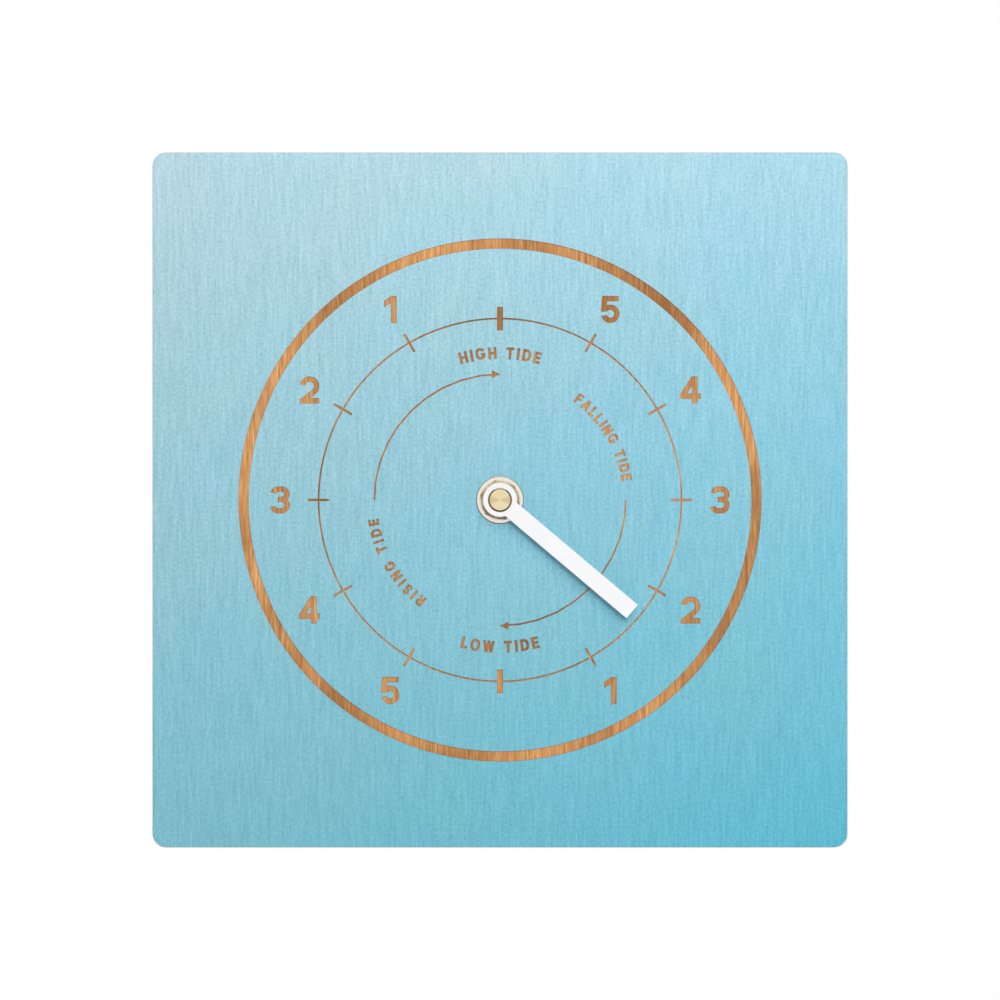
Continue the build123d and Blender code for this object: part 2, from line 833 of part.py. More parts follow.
def make_rear_cover():
    """The snap-on lid: the knob's cup, four snap tongues, and the hanger above."""
    width = case_half_width
    outline = rounded_block(-width, width, case_bottom, case_top, case_corner_radius)
    outline -= block(-width, width, case_bottom, bay_top + lid_gap)
    cover = slab(outline - disc(cup_radius, setting_axis), cover_inner, 0)
    cup = disc(cup_outer_radius, setting_axis) - disc(cup_radius, setting_axis)
    cover += slab(cup, cup_floor_front, cover_inner)
    shaft_hole = disc(setting_shaft_radius + sleeve_clearance, setting_axis)
    cover += slab(disc(cup_outer_radius, setting_axis) - shaft_hole, cup_floor_front, cup_floor_rear)
    for side, z in clip_places():
        outer = side * (inner_half_width - lid_gap)
        inner = side * (inner_half_width - lid_gap - clip_thickness)
        tip = side * (inner_half_width + clip_barb)
        low, high = z - clip_width / 2, z + clip_width / 2
        cover += slab(block(min(inner, outer), max(inner, outer), low, high), clip_tip, cover_inner)
        cover += slab(block(min(outer, tip), max(outer, tip), low, high), barb_front, barb_rear)
    return cover + make_hanger()


def make_hanger():
    """The keyhole loop above the case: a round eye for a screw head, and a slot above it for the shank."""
    eye_z = case_top + hanger_reach
    slot_z = eye_z + hanger_slot_rise
    eye_rim = disc(hanger_hole_radius + hanger_rim, (0, eye_z))
    slot_rim = disc(hanger_slot_radius + hanger_rim, (0, slot_z))
    half = hanger_hole_radius + hanger_rim
    outline = make_hull(eye_rim.edges() + slot_rim.edges()) + block(-half, half, case_top, eye_z)
    outline -= disc(hanger_hole_radius, (0, eye_z)) + disc(hanger_slot_radius, (0, slot_z))
    outline -= block(-hanger_slot_radius, hanger_slot_radius, eye_z, slot_z)
    outline -= block(-half, half, case_bottom, case_top)
    return slab(outline, -hanger_thickness, 0)


pieces = {
    "board": make_board,
    "brass_washer": make_brass_washer,
    "hex_nut": make_hex_nut,
    "rubber_gasket": make_rubber_gasket,
    "threaded_bush": make_threaded_bush,
    "tide_hand": make_tide_hand,
    "hand_cap": make_hand_cap,
    "tide_wheel": make_tide_wheel,
    "reduction_wheel": make_reduction_wheel,
    "cannon_pinion": make_cannon_pinion,
    "centre_wheel": make_centre_wheel,
    "third_wheel": make_third_wheel,
    "second_wheel": make_second_wheel,
    "intermediate_wheel": make_intermediate_wheel,
    "rotor_pinion": make_rotor_pinion,
    "rotor_magnet": make_rotor_magnet,
    "setting_pinion": make_setting_pinion,
    "setting_knob": make_setting_knob,
    "stator_plate": make_stator_plate,
    "coil_core": make_coil_core,
    "coil_bobbin": make_coil_bobbin,
    "coil_winding": make_coil_winding,
    "circuit_board": make_circuit_board,
    "clock_chip": make_clock_chip,
    "quartz_crystal": make_quartz_crystal,
    "battery": make_battery,
    "positive_contact": make_positive_contact,
    "negative_contact": make_negative_contact,
    "train_bridge": make_train_bridge,
    "case_front": make_case_front,
    "rear_cover": make_rear_cover,
}

os.makedirs("parts", exist_ok=True)
for name, make in pieces.items():
    export_step(make(), f"parts/{name}.step")
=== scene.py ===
# %% [markdown]
# # A tide clock
# A wall clock that shows the state of the tide: a square board of bamboo ply, painted pale blue and engraved
# through the paint into the bare wood, one white hand, and a battery movement behind.
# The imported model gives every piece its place. This script gives each surface its finish.

import json
from math import copysign, cos, hypot, radians, sin, tau

import bmesh
import bpy
from mathutils import Matrix, Vector


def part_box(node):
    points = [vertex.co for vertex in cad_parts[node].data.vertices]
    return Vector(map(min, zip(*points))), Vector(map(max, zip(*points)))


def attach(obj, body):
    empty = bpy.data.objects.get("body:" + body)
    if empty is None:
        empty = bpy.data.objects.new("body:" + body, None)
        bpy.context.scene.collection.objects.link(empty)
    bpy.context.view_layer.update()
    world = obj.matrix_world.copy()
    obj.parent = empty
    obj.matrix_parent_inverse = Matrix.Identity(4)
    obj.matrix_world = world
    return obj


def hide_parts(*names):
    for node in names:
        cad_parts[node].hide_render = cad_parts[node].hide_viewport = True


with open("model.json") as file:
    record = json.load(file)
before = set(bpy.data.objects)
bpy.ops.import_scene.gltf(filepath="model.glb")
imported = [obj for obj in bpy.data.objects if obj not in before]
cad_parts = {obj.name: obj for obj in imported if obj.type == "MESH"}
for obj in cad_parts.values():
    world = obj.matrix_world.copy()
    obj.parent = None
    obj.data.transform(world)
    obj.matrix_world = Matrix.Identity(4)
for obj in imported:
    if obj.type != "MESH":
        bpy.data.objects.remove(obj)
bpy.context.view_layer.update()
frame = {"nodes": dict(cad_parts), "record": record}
nodes = frame["nodes"]

# %% [markdown]
# ## Camera
# The photograph looks straight at the dial, and its lines stay parallel, so the camera stands far back on the
# hand's axis with a long lens. The photograph's frame is 1000 pixels wide and the board takes up 695 of them.

# %% Set the camera
MM = 0.001
FRAME_PIXELS = 1000
BOARD_PIXELS = 695
SENSOR_MM = 36
CAMERA_DISTANCE = 1200 * MM

board_low, board_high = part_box("board")
board_side = board_high.x - board_low.x
face_y = board_low.y


def placed(name, data):
    """A new object with its data, in the scene."""
    thing = bpy.data.objects.new(name, data)
    bpy.context.scene.collection.objects.link(thing)
    return thing


camera = placed("camera", bpy.data.cameras.new("camera"))
camera.data.sensor_width = SENSOR_MM
camera.data.lens = SENSOR_MM * CAMERA_DISTANCE / (board_side * FRAME_PIXELS / BOARD_PIXELS)
camera.location = (0, face_y - CAMERA_DISTANCE, 0)
camera.rotation_euler = (radians(90), 0, 0)
bpy.context.scene.camera = camera
bpy.context.scene.view_settings.view_transform = "Standard"
print("lens", round(camera.data.lens, 1), "mm")

# %% [markdown]
# ## Node helpers
# These helpers add a node, fill its inputs by name and link it, so that each finish below reads as what it is and
# not as wiring.

# %% Helpers for single nodes
NOISE_LOW, NOISE_HIGH = 0.3, 0.7


def add_node(kind, settings=None, **inputs):
    """A node whose inputs, named or numbered as in _0, are linked to sockets or set. It joins the sockets' tree."""
    linked_to = {name: value for name, value in inputs.items() if isinstance(value, bpy.types.NodeSocket)}
    tree = next(iter(linked_to.values())).id_data
    node = tree.nodes.new("ShaderNode" + kind)
    for name, value in (settings or {}).items():
        setattr(node, name, value)
    for name, value in inputs.items():
        socket = node.inputs[int(name[1:]) if name[1:].isdigit() else name.replace("_", " ")]
        if name in linked_to:
            tree.links.new(value, socket)
        else:
            socket.default_value = value
    return node


def object_place(tree):
    """The piece's own coordinates, in metres."""
    return tree.nodes.new("ShaderNodeTexCoord").outputs["Object"]


def separated(vector):
    return add_node("SeparateXYZ", Vector=vector).outputs


def stretched(vector, scales):
    """A vector stretched by a scale along each axis."""
    return add_node("Mapping", Vector=vector, Scale=scales).outputs["Vector"]


def maths(operation, first, second=0.0):
    """One sum of two values or sockets."""
    return add_node("Math", {"operation": operation}, _0=first, _1=second).outputs[0]


def noise(vector, scale, detail=2.0, roughness=0.5):
    """A noise whose values seldom leave the range from NOISE_LOW to NOISE_HIGH."""
    node = add_node("TexNoise", Vector=vector, Scale=scale, Detail=detail, Roughness=roughness)
    return node.outputs["Fac"]


def mapped(value, low, high, to_low=0.0, to_high=1.0):
    """A value stretched from one range to another, and held within it."""
    ends = {"From_Min": low, "From_Max": high, "To_Min": to_low, "To_Max": to_high}
    return add_node("MapRange", Value=value, **ends).outputs["Result"]


def spread(value, to_low, to_high):
    """A noise stretched to a new range."""
    return mapped(value, NOISE_LOW, NOISE_HIGH, to_low, to_high)


def mixed(factor, first, second, blend="MIX"):
    """Two colours mixed by a factor."""
    settings = {"data_type": "RGBA", "blend_type": blend}
    return add_node("Mix", settings, _0=factor, _6=first, _7=second).outputs[2]


def multiplied(first, second):
    return mixed(1.0, first, second, "MULTIPLY")


def shaded(value, deep, pale, low=NOISE_LOW, high=NOISE_HIGH):
    """A colour that a value takes from deep to pale over its range."""
    return mixed(mapped(value, low, high), deep, pale)


def colour(red, green, blue):
    """A screen colour from 0 to 255, as the linear colour that nodes take."""
    shares = (value / 255 for value in (red, green, blue))
    return (*(share / 12.92 if share <= 0.04045 else ((share + 0.055) / 1.055) ** 2.4 for share in shares), 1)


print("white is", colour(255, 255, 255))

# %% [markdown]
# A finish is a material whose varying colour, roughness and relief are tied to its shader, with the constants set
# on the shader's own sockets. An effect that comes back on several finishes is a node group.

# %% Helpers for finishes and groups


def new_finish(name, **constants):
    """A material and its tree, with the shader's constants set."""
    material = bpy.data.materials.new(name)
    material.use_nodes = True
    for key, value in constants.items():
        material.node_tree.nodes["Principled BSDF"].inputs[key.replace("_", " ")].default_value = value
    return material, material.node_tree


def dressed(material, tone, gloss=None, relief=None):
    """The material with its colour, its roughness and its relief, a (height, strength, depth), tied to the shader."""
    tree = material.node_tree
    sockets = tree.nodes["Principled BSDF"].inputs
    tree.links.new(tone, sockets["Base Color"])
    if gloss:
        tree.links.new(gloss, sockets["Roughness"])
    if relief:
        height, strength, depth = relief
        node = add_node("Bump", Height=height, Strength=strength, Distance=depth)
        tree.links.new(node.outputs["Normal"], sockets["Normal"])
    return material


def new_group(name, **inputs):
    """An empty node group and its entry's sockets; each input has a name and a kind."""
    group = bpy.data.node_groups.new(name, "ShaderNodeTree")
    for socket, kind in inputs.items():
        group.interface.new_socket(name=socket, in_out="INPUT", socket_type="NodeSocket" + kind)
    return group, group.nodes.new("NodeGroupInput").outputs


def closed(group, **values):
    """The group with an output for each value."""
    for socket in values:
        group.interface.new_socket(name=socket, in_out="OUTPUT", socket_type="NodeSocketFloat")
    leave = group.nodes.new("NodeGroupOutput")
    for socket, value in values.items():
        group.links.new(value, leave.inputs[socket])
    print("group", group.name, "gives", ", ".join(values))
    return group


def placed_group(tree, group, **values):
    """The outputs of a group in a material, fed with the piece's own coordinates."""
    node = tree.nodes.new("ShaderNodeGroup")
    node.node_tree = group
    tree.links.new(object_place(tree), node.inputs["Vector"])
    for name, value in values.items():
        node.inputs[name].default_value = value
    return node.outputs


print("a finish takes a tone, a gloss and a relief")

# %% [markdown]
# ## Light and backdrop
# The photograph's background is plain white. The hand's shadow has a narrow dark core and a wide soft edge to the
# lower left, so there are two lamps to the upper right: a small one nearly in front, and a large one further out.
# The world is white to the camera and in reflections, and dimmer as a fill. A third lamp shows the movement.

# %% Lamps and world
LAMPS = {
    "soft_lamp": {"place": (0.3, -1.2, 0.6), "size": 1.1, "watts": 10.5, "in_gloss": False},
    "core_lamp": {"place": (0.13, -1.2, 0.26), "size": 0.26, "watts": 4.6, "in_gloss": False},
    "rear_lamp": {"place": (-0.5, 1.0, 0.7), "size": 0.8, "watts": 9.0, "in_gloss": True},
}
WORLD_FILL = 0.155


def area_lamp(name, place, size, watts, in_gloss):
    """A square soft lamp that faces the hub."""
    lamp = placed(name, bpy.data.lights.new(name, "AREA"))
    lamp.data.size = size
    lamp.data.energy = watts
    lamp.location = place
    lamp.rotation_euler = (-Vector(place)).to_track_quat("-Z", "Y").to_euler()
    lamp.visible_glossy = in_gloss


def white_studio():
    """A world that is full white to the camera, in gloss and through glass, and a dimmer fill otherwise."""
    world = bpy.data.worlds.new("studio")
    world.use_nodes = True
    tree = world.node_tree
    rays = tree.nodes.new("ShaderNodeLightPath").outputs
    seen = maths("MAXIMUM", rays["Is Camera Ray"], rays["Is Glossy Ray"])
    seen = maths("MAXIMUM", seen, rays["Is Transmission Ray"])
    backdrop = tree.nodes["Background"].inputs
    backdrop["Color"].default_value = (1, 1, 1, 1)
    tree.links.new(mapped(seen, 0, 1, WORLD_FILL, 1.0), backdrop["Strength"])
    return world


for name, settings in LAMPS.items():
    area_lamp(name, **settings)
bpy.context.scene.world = white_studio()
print(len(LAMPS), "lamps and the world are in place")

# %% [markdown]
# A pale floor lies below the photograph's frame, and is clear from below, so that a low camera still sees the
# clock. The photograph's polished metal has a bright upper edge, duller sides and a nearly black lower edge. So a
# black card lies below the clock and a grey one stands at each side, all seen in reflections only.

# %% Floor and cards
FLOOR_Z = -170 * MM
FLOOR_NEAR = -500 * MM
FLOOR_FAR = 180 * MM
FLOOR_WIDTH = 900 * MM
CARD_SIZE = 600 * MM
CARD_DISTANCE = 165 * MM
FELT_VARIATION = 1.3
CARDS = {"black_card": (0.01, 0), "left_card": (0.3, 90), "right_card": (0.3, -90)}


def new_object(name, mesh):
    """An object from a bmesh."""
    data = bpy.data.meshes.new(name)
    mesh.to_mesh(data)
    mesh.free()
    return placed(name, data)


def floor_paint():
    material, tree = new_finish("floor_paint", Roughness=0.8)
    dressed(material, spread(noise(object_place(tree), 4.0), 0.84, 0.87))
    paint = tree.nodes["Principled BSDF"].outputs["BSDF"]
    below = tree.nodes.new("ShaderNodeNewGeometry").outputs["Backfacing"]
    clear = tree.nodes.new("ShaderNodeBsdfTransparent").outputs["BSDF"]
    either = add_node("MixShader", _0=below, _1=paint, _2=clear)
    tree.links.new(either.outputs["Shader"], tree.nodes["Material Output"].inputs["Surface"])
    return material


def felt(name, tone):
    material, tree = new_finish(name, Roughness=1.0)
    return dressed(material, spread(noise(object_place(tree), 40.0), tone, tone * FELT_VARIATION))


def sheet(name, finish, width, depth, place, turn=0):
    """A level sheet at a place, turned about the hand's axis."""
    mesh = bmesh.new()
    bmesh.ops.create_grid(mesh, x_segments=1, y_segments=1, size=0.5)
    bmesh.ops.scale(mesh, verts=mesh.verts, vec=(width, depth, 1))
    bmesh.ops.translate(mesh, verts=mesh.verts, vec=place)
    bmesh.ops.rotate(mesh, verts=mesh.verts, cent=(0, 0, 0), matrix=Matrix.Rotation(radians(turn), 3, "Y"))
    piece = new_object(name, mesh)
    piece.data.materials.append(finish)
    return piece


sheet("floor", floor_paint(), FLOOR_WIDTH, FLOOR_FAR - FLOOR_NEAR, (0, (FLOOR_NEAR + FLOOR_FAR) / 2, FLOOR_Z))
for name, (tone, turn) in CARDS.items():
    card = sheet(name, felt(name, tone), CARD_SIZE, CARD_SIZE, (0, -CARD_SIZE / 2, -CARD_DISTANCE), turn)
    card.visible_camera = card.visible_diffuse = card.visible_transmission = card.visible_shadow = False
print("floor and", len(CARDS), "cards are in place")

# %% [markdown]
# ## Bamboo grain, for every wooden surface
# Bamboo ply is made of thin upright strips, each with long fibres. The group gives the fibres, the strips' tones, a
# fine mottling and broad clouds. Paint, bare wood and edges all read them, so the grain runs on from one to the next.

# %% Bamboo grain group
FIBRE_SCALE = 1600
FIBRE_STRETCH = (1, 1, 0.07)
STRIP_SCALE = 180
STRIP_STRETCH = (1, 1, 0.01)
MOTTLE_SCALE = 1300
CLOUD_SCALE = 26


def grain_group():
    """Wood whose grain runs along Z."""
    group, given = new_group("bamboo_grain", Vector="Vector")
    place = given["Vector"]
    return closed(
        group,
        Fibre=noise(stretched(place, FIBRE_STRETCH), FIBRE_SCALE, 3.0, 0.6),
        Strip=noise(stretched(place, STRIP_STRETCH), STRIP_SCALE, 1.0, 0.4),
        Mottle=noise(place, MOTTLE_SCALE, 1.0),
        Cloud=noise(place, CLOUD_SCALE),
    )


bamboo_grain = grain_group()


def grain(tree):
    return placed_group(tree, bamboo_grain)


# %% [markdown]
# ## Blue paint
# The satin paint's colour is lightest at the top left and deepest at the bottom right: its own pale blue, with a
# painted sheen that is strongest at the top. It lies thin, so the wood's fibres show through as fine upright
# streaks, which both tint it and raise it a little.

# %% Blue paint
# The top colours carry a painted sheen over the paint's own blue, and the sheen fades towards the bottom.
PAINT_TOP_PAINTED_SHEEN = (colour(190, 220, 229), colour(173, 219, 236))
PAINT_BOTTOM_LEAST_SHEEN = (colour(124, 188, 203), colour(96, 186, 207))
SHEEN_FADE_POWER = 0.75
THIN_PAINT = (1.28, 1.16, 1.145, 1)
THICK_PAINT = (0.7, 0.83, 0.845, 1)
GREENER_PAINT = (1.035, 1.0, 0.975, 1)
BLUER_PAINT = (0.965, 1.0, 1.025, 1)


def blue_paint():
    material, tree = new_finish("blue_paint", Specular_IOR_Level=0.3)
    place = separated(object_place(tree))
    across = mapped(place["X"], board_low.x, board_high.x)
    down = maths("POWER", mapped(place["Z"], board_high.z, board_low.z), SHEEN_FADE_POWER)
    # Painted sheen: the colour is paler towards the top left.
    paint_and_painted_sheen = mixed(down, mixed(across, *PAINT_TOP_PAINTED_SHEEN), mixed(across, *PAINT_BOTTOM_LEAST_SHEEN))
    wood = grain(tree)
    thinness = maths("ADD", wood["Fibre"], wood["Mottle"])
    tint = shaded(thinness, THICK_PAINT, THIN_PAINT, 2 * NOISE_LOW, 2 * NOISE_HIGH)
    hue = shaded(wood["Cloud"], GREENER_PAINT, BLUER_PAINT)
    paint = multiplied(multiplied(paint_and_painted_sheen, tint), hue)
    return dressed(material, paint, spread(wood["Fibre"], 0.5, 0.64), (wood["Fibre"], 0.25, 0.12 * MM))


print("paint fades from", [round(value, 2) for value in PAINT_TOP_PAINTED_SHEEN[0][:3]])

# %% [markdown]
# ## Bare and burnt wood
# The laser takes the paint away and leaves warm wood, darker and paler in broad patches. It browns the walls of
# each cut. The board's outer edges were cut by the same laser and are toasted, with the ply's layers showing.

# %% Wood finishes
DARKER_WOOD = (0.6, 0.56, 0.54, 1)
PALER_WOOD = (1.21, 1.23, 1.23, 1)
PLY_LAYERS = 3


def engraved_wood():
    material, tree = new_finish("engraved_wood", Roughness=0.75)
    wood = grain(tree)
    tone = shaded(wood["Fibre"], colour(172, 112, 64), colour(224, 170, 112), 0.35, 0.65)
    tone = mixed(mapped(wood["Strip"], 0.35, 0.65, 0.0, 0.5), tone, colour(192, 130, 76))
    patch = shaded(wood["Cloud"], DARKER_WOOD, PALER_WOOD, 0.32, 0.58)
    return dressed(material, multiplied(tone, patch), relief=(wood["Fibre"], 0.5, 0.1 * MM))


def burnt_wood():
    material, tree = new_finish("burnt_wood", Roughness=0.9)
    wood = grain(tree)
    return dressed(material, shaded(wood["Mottle"], colour(122, 84, 54), colour(154, 110, 72)))


def bare_bamboo():
    material, tree = new_finish("bare_bamboo", Roughness=0.6)
    wood = grain(tree)
    tone = shaded(wood["Fibre"], colour(206, 170, 122), colour(232, 204, 158))
    tone = mixed(mapped(wood["Strip"], 0.4, 0.6, 0.0, 0.6), tone, colour(214, 178, 128))
    return dressed(material, tone, relief=(wood["Fibre"], 0.35, 0.1 * MM))


def toasted_edge():
    material, tree = new_finish("toasted_edge", Roughness=0.7)
    wood = grain(tree)
    height = separated(object_place(tree))["Y"]
    layer = maths("PINGPONG", mapped(height, face_y, board_high.y, 0, PLY_LAYERS), 1.0)
    tone = shaded(wood["Mottle"], colour(110, 74, 44), colour(150, 106, 66))
    tone = shaded(layer, tone, colour(70, 46, 28), 0.9, 1.0)
    return dressed(material, tone, relief=(wood["Mottle"], 0.4, 0.1 * MM))


BOARD_FINISHES = (blue_paint(), engraved_wood(), burnt_wood(), toasted_edge(), bare_bamboo())
PAINT, FLOOR, WALL, EDGE, BACK = range(len(BOARD_FINISHES))
print("board finishes:", ", ".join(finish.name for finish in BOARD_FINISHES))

# %% [markdown]
# ## Drawing with a broad pen
# The dial's rings, ticks, arrows, digits and letters are strokes of a broad pen. The nib is one short edge, extruded
# along straight runs and spun round turns. The flat strip is cut to the height of its letter and then extruded into
# a cutter for the board.

# %% Pen strokes
TURN_STEP_DEGREES = 9


def direction(degrees):
    """A unit step in the plane of the dial: 0 is to the right, 90 is up."""
    return Vector((cos(radians(degrees)), 0, sin(radians(degrees))))


def of_kind(parts, kind):
    """The vertices, edges or faces among the parts that an operator gives back."""
    return [part for part in parts if isinstance(part, kind)]


def turn_centre(place, heading, radius, degrees):
    """The middle of a turn to the left, or to the right when its degrees are negative."""
    return place + direction(heading + (90 if degrees > 0 else -90)) * radius


def travelled(place, heading, run):
    """Where the nib's middle is and where it heads after a run: a length, or a turn's (radius, degrees)."""
    if not isinstance(run, tuple):
        return place + direction(heading) * run, heading
    centre = turn_centre(place, heading, *run)
    return centre + (Matrix.Rotation(-radians(run[1]), 3, "Y") @ (place - centre)), heading + run[1]


def first_part(run, length):
    """The first part of a run, of a given length."""
    return (run[0], copysign(1, run[1]) * length / run[0] * 360 / tau) if isinstance(run, tuple) else length


def cut_short(run, length):
    """A run without a given length of it."""
    return (run[0], run[1] - first_part(run, length)[1]) if isinstance(run, tuple) else run - length


def drag_nib(mesh, nib, place, heading, run):
    """Sweeps the nib's edge along one run, and gives the edge at its end."""
    if isinstance(run, tuple):
        steps = max(2, round(abs(run[1]) / TURN_STEP_DEGREES))
        spun = bmesh.ops.spin(mesh, geom=[nib, *nib.verts], cent=turn_centre(place, heading, *run),
                              axis=(0, -1, 0), angle=radians(run[1]), use_merge=False, steps=steps)
        return of_kind(spun["geom_last"], bmesh.types.BMEdge)[0]
    grown = bmesh.ops.extrude_edge_only(mesh, edges=[nib])["geom"]
    moved = of_kind(grown, bmesh.types.BMVert)
    bmesh.ops.translate(mesh, verts=moved, vec=travelled(place, heading, run)[0] - place)
    return next(edge for edge in of_kind(grown, bmesh.types.BMEdge) if all(vert in moved for vert in edge.verts))


def linked(verts):
    """The vertices with the edges and faces that hold only them."""
    inside = set(verts)
    edges = {edge for vert in verts for edge in vert.link_edges if inside.issuperset(edge.verts)}
    faces = {face for vert in verts for face in vert.link_faces if inside.issuperset(face.verts)}
    return [*verts, *edges, *faces]


def trim(mesh, verts, keep, margin):
    """Cuts a flat stroke back to a box of (left, bottom, right, top), or to a margin inside it."""
    others = set(mesh.verts) - set(verts)
    left, bottom = (low + margin for low in keep[:2])
    right, top = (high - margin for high in keep[2:])
    for x, z, outward in ((left, bottom, (-1, 0, 0)), (left, bottom, (0, 0, -1)),
                          (right, top, (1, 0, 0)), (right, top, (0, 0, 1))):
        own = [vert for vert in mesh.verts if vert not in others]
        bmesh.ops.bisect_plane(mesh, geom=linked(own), plane_co=(x, 0, z), plane_no=outward, clear_outer=True)
    return [vert for vert in mesh.verts if vert not in others]


def draw_stroke(mesh, start, heading, runs, width, keep=None, margin=0.0):
    """Drags the nib along its runs. A margin is left free inside the stroke's outline, and a negative one makes the
    stroke bolder."""
    runs = list(runs)
    place, heading = travelled(Vector((start[0], 0, start[1])), heading, first_part(runs[0], margin))
    runs[0] = cut_short(runs[0], margin)
    runs[-1] = cut_short(runs[-1], margin)
    side = direction(heading + 90) * (width / 2 - margin)
    before = set(mesh.verts)
    nib = mesh.edges.new((mesh.verts.new(place + side), mesh.verts.new(place - side)))
    for run in runs:
        nib = drag_nib(mesh, nib, place, heading, run)
        place, heading = travelled(place, heading, run)
    drawn = [vert for vert in mesh.verts if vert not in before]
    return trim(mesh, drawn, keep, margin) if keep else drawn


print("a full turn takes", round(360 / TURN_STEP_DEGREES), "steps of the nib")

# %% [markdown]
# ## Digits and letters
# The digits 1 to 5 count the hours, and short words name the tide's states. A glyph is a few strokes in shares of
# its height, each with the pass in which it is cut. Strokes that touch are cut in different passes, so that no
# cutter crosses itself.

# %% Strokes of a glyph
NIB_SHARE = 0.2
HALF = NIB_SHARE / 2
BASE = (-1.0, 0.0, 2.0, 1.0)


def stroke(layer, start, heading, *runs, keep=None):
    return layer, start, heading, runs, keep


def upright(layer, x):
    return stroke(layer, (x, 0.0), 90, 1.0)


def level(layer, left, right, z):
    return stroke(layer, (left, z), 0, right - left)


def sloping(layer, start, end, keep=BASE):
    """A straight stroke between two points of its centre line, run past both ends and cut to a box."""
    run = Vector((end[0] - start[0], 0, end[1] - start[1]))
    heading = Vector((1, 0)).angle_signed(Vector((run.x, run.z)))
    past = run.normalized() * NIB_SHARE
    begin = (start[0] - past.x, start[1] - past.z)
    return stroke(layer, begin, -heading * 360 / tau, run.length + 2 * NIB_SHARE, keep=keep)


def on_circle(x, z, radius, degrees):
    """A point of a circle round (x, z)."""
    return x + radius * cos(radians(degrees)), z + radius * sin(radians(degrees))


print("the nib is", NIB_SHARE, "of a glyph's height")

# %% [markdown]
# Each glyph is its width and its strokes, and a stroke's first number is its pass. After its start and heading come
# its runs: a length goes straight on, and a (radius, degrees) turns to the left, or to the right when negative.

# %% Glyph shares
STEM = upright(0, HALF)
GLYPH_SHARES = {
    "1": (0.48, [upright(0, 0.38), sloping(1, (0.0, 0.68), (0.38, 0.94), (0.02, 0.5, 0.48, 1.0))]),
    "2": (0.72, [
        stroke(0, on_circle(0.36, 0.64, 0.26, 168), 78, (0.26, -218), 0.75, keep=(0.0, 0.0, 0.72, 1.0)),
        level(1, 0.02, 0.72, 0.1),
    ]),
    "3": (0.72, [
        stroke(0, on_circle(0.29, 0.71, 0.19, 165), 75, (0.19, -75), 0.13, (0.19, -180), 0.14),
        stroke(1, (0.28, 0.52), 0, 0.13, (0.21, -180), 0.12, (0.21, -75)),
    ]),
    "4": (0.78, [
        upright(0, 0.55),
        sloping(1, (0.08, 0.27), (0.55, 1.0), (0.0, 0.18, 0.64, 1.0)),
        level(2, 0.0, 0.77, 0.27),
    ]),
    "5": (0.72, [
        stroke(0, on_circle(0.37, 0.34, 0.24, 140), 50, (0.24, -305)),
        sloping(1, (0.17, 1.0), (0.13, 0.48), (0.0, 0.42, 0.4, 1.0)),
        level(2, 0.08, 0.68, 0.9),
    ]),
    "A": (0.76, [
        sloping(0, (0.1, 0.0), (0.36, 1.0)),
        sloping(1, (0.66, 0.0), (0.4, 1.0)),
        level(2, 0.16, 0.6, 0.28),
    ]),
    "D": (0.72, [STEM, stroke(1, (HALF, 0.9), 0, 0.22, (0.3, -90), 0.2, (0.3, -90), 0.22)]),
    "E": (0.58, [STEM, level(1, HALF, 0.58, 0.9), level(1, HALF, 0.54, 0.5), level(1, HALF, 0.58, 0.1)]),
    "F": (0.56, [STEM, level(1, HALF, 0.56, 0.9), level(1, HALF, 0.5, 0.47)]),
    "G": (0.78, [
        stroke(0, on_circle(0.39, 0.61, 0.29, 25), 115, (0.29, 155), 0.22, (0.29, 180), 0.13),
        level(1, 0.44, 0.78, 0.46),
    ]),
    "H": (0.7, [STEM, upright(0, 0.6), level(1, HALF, 0.6, 0.5)]),
    "I": (0.2, [STEM]),
    "L": (0.54, [STEM, level(1, HALF, 0.54, 0.1)]),
    "N": (0.7, [STEM, upright(0, 0.6), sloping(1, (HALF, 1.0), (0.6, 0.0), (0.0, 0.0, 0.7, 1.0))]),
    "O": (0.78, [
        stroke(0, (HALF, 0.38), 90, 0.24, (0.29, -180), 0.16),
        stroke(1, (0.68, 0.62), -90, 0.24, (0.29, -180), 0.16),
    ]),
    "R": (0.68, [
        STEM,
        stroke(1, (HALF, 0.9), 0, 0.27, (0.195, -180), 0.27),
        sloping(2, (0.32, 0.5), (0.57, 0.0), (0.0, 0.0, 0.7, 0.5)),
    ]),
    "S": (0.66, [stroke(0, on_circle(0.34, 0.7, 0.2, 20), 110, (0.2, 250), (0.2, -250))]),
    "T": (0.64, [upright(0, 0.32), level(1, 0.0, 0.64, 0.9)]),
    "W": (1.0, [
        sloping(0, (0.1, 1.0), (0.3, 0.0)),
        sloping(1, (0.3, 0.0), (0.5, 1.0)),
        sloping(0, (0.5, 1.0), (0.7, 0.0)),
        sloping(1, (0.7, 0.0), (0.9, 1.0)),
    ]),
    " ": (0.3, []),
}
PASS_COUNT = 3
print(len(GLYPH_SHARES), "glyphs")

# %% [markdown]
# ## The dial's layout
# Everything on the dial goes round the hand's axis. Each thing to be cut is drawn flat at the origin, turned and
# moved to its place, and kept with the others of its pass.

# %% Lay out the dial
RING_RADIUS = 73.8 * MM
RING_WIDTH = 2.92 * MM
RING_STEPS = 180
HOUR_CIRCLE_RADIUS = 52.2 * MM
FINE_LINE = 0.5 * MM
TICK_COUNT = 12
TICK = {"length": 5.9 * MM, "width": 0.7 * MM}
TIDE_MARK = {"length": 6.8 * MM, "width": 1.7 * MM}
ARROW_RADIUS = 36.2 * MM
ARROW_HEAD = 2.3 * MM
DIGIT_RADIUS = 63.3 * MM
DIGIT_HEIGHT = 7.8 * MM
HOUR_DEGREES = 30
STATE_RADIUS, STATE_HEIGHT = 42.3 * MM, 3.3 * MM
FLOW_RADIUS, FLOW_HEIGHT = 36.9 * MM, 3.0 * MM
CHAR_WIDTH = 0.05 * MM
WORD_BOLDNESS = 0.06 * MM
PASS_STEP = 0.004 * MM


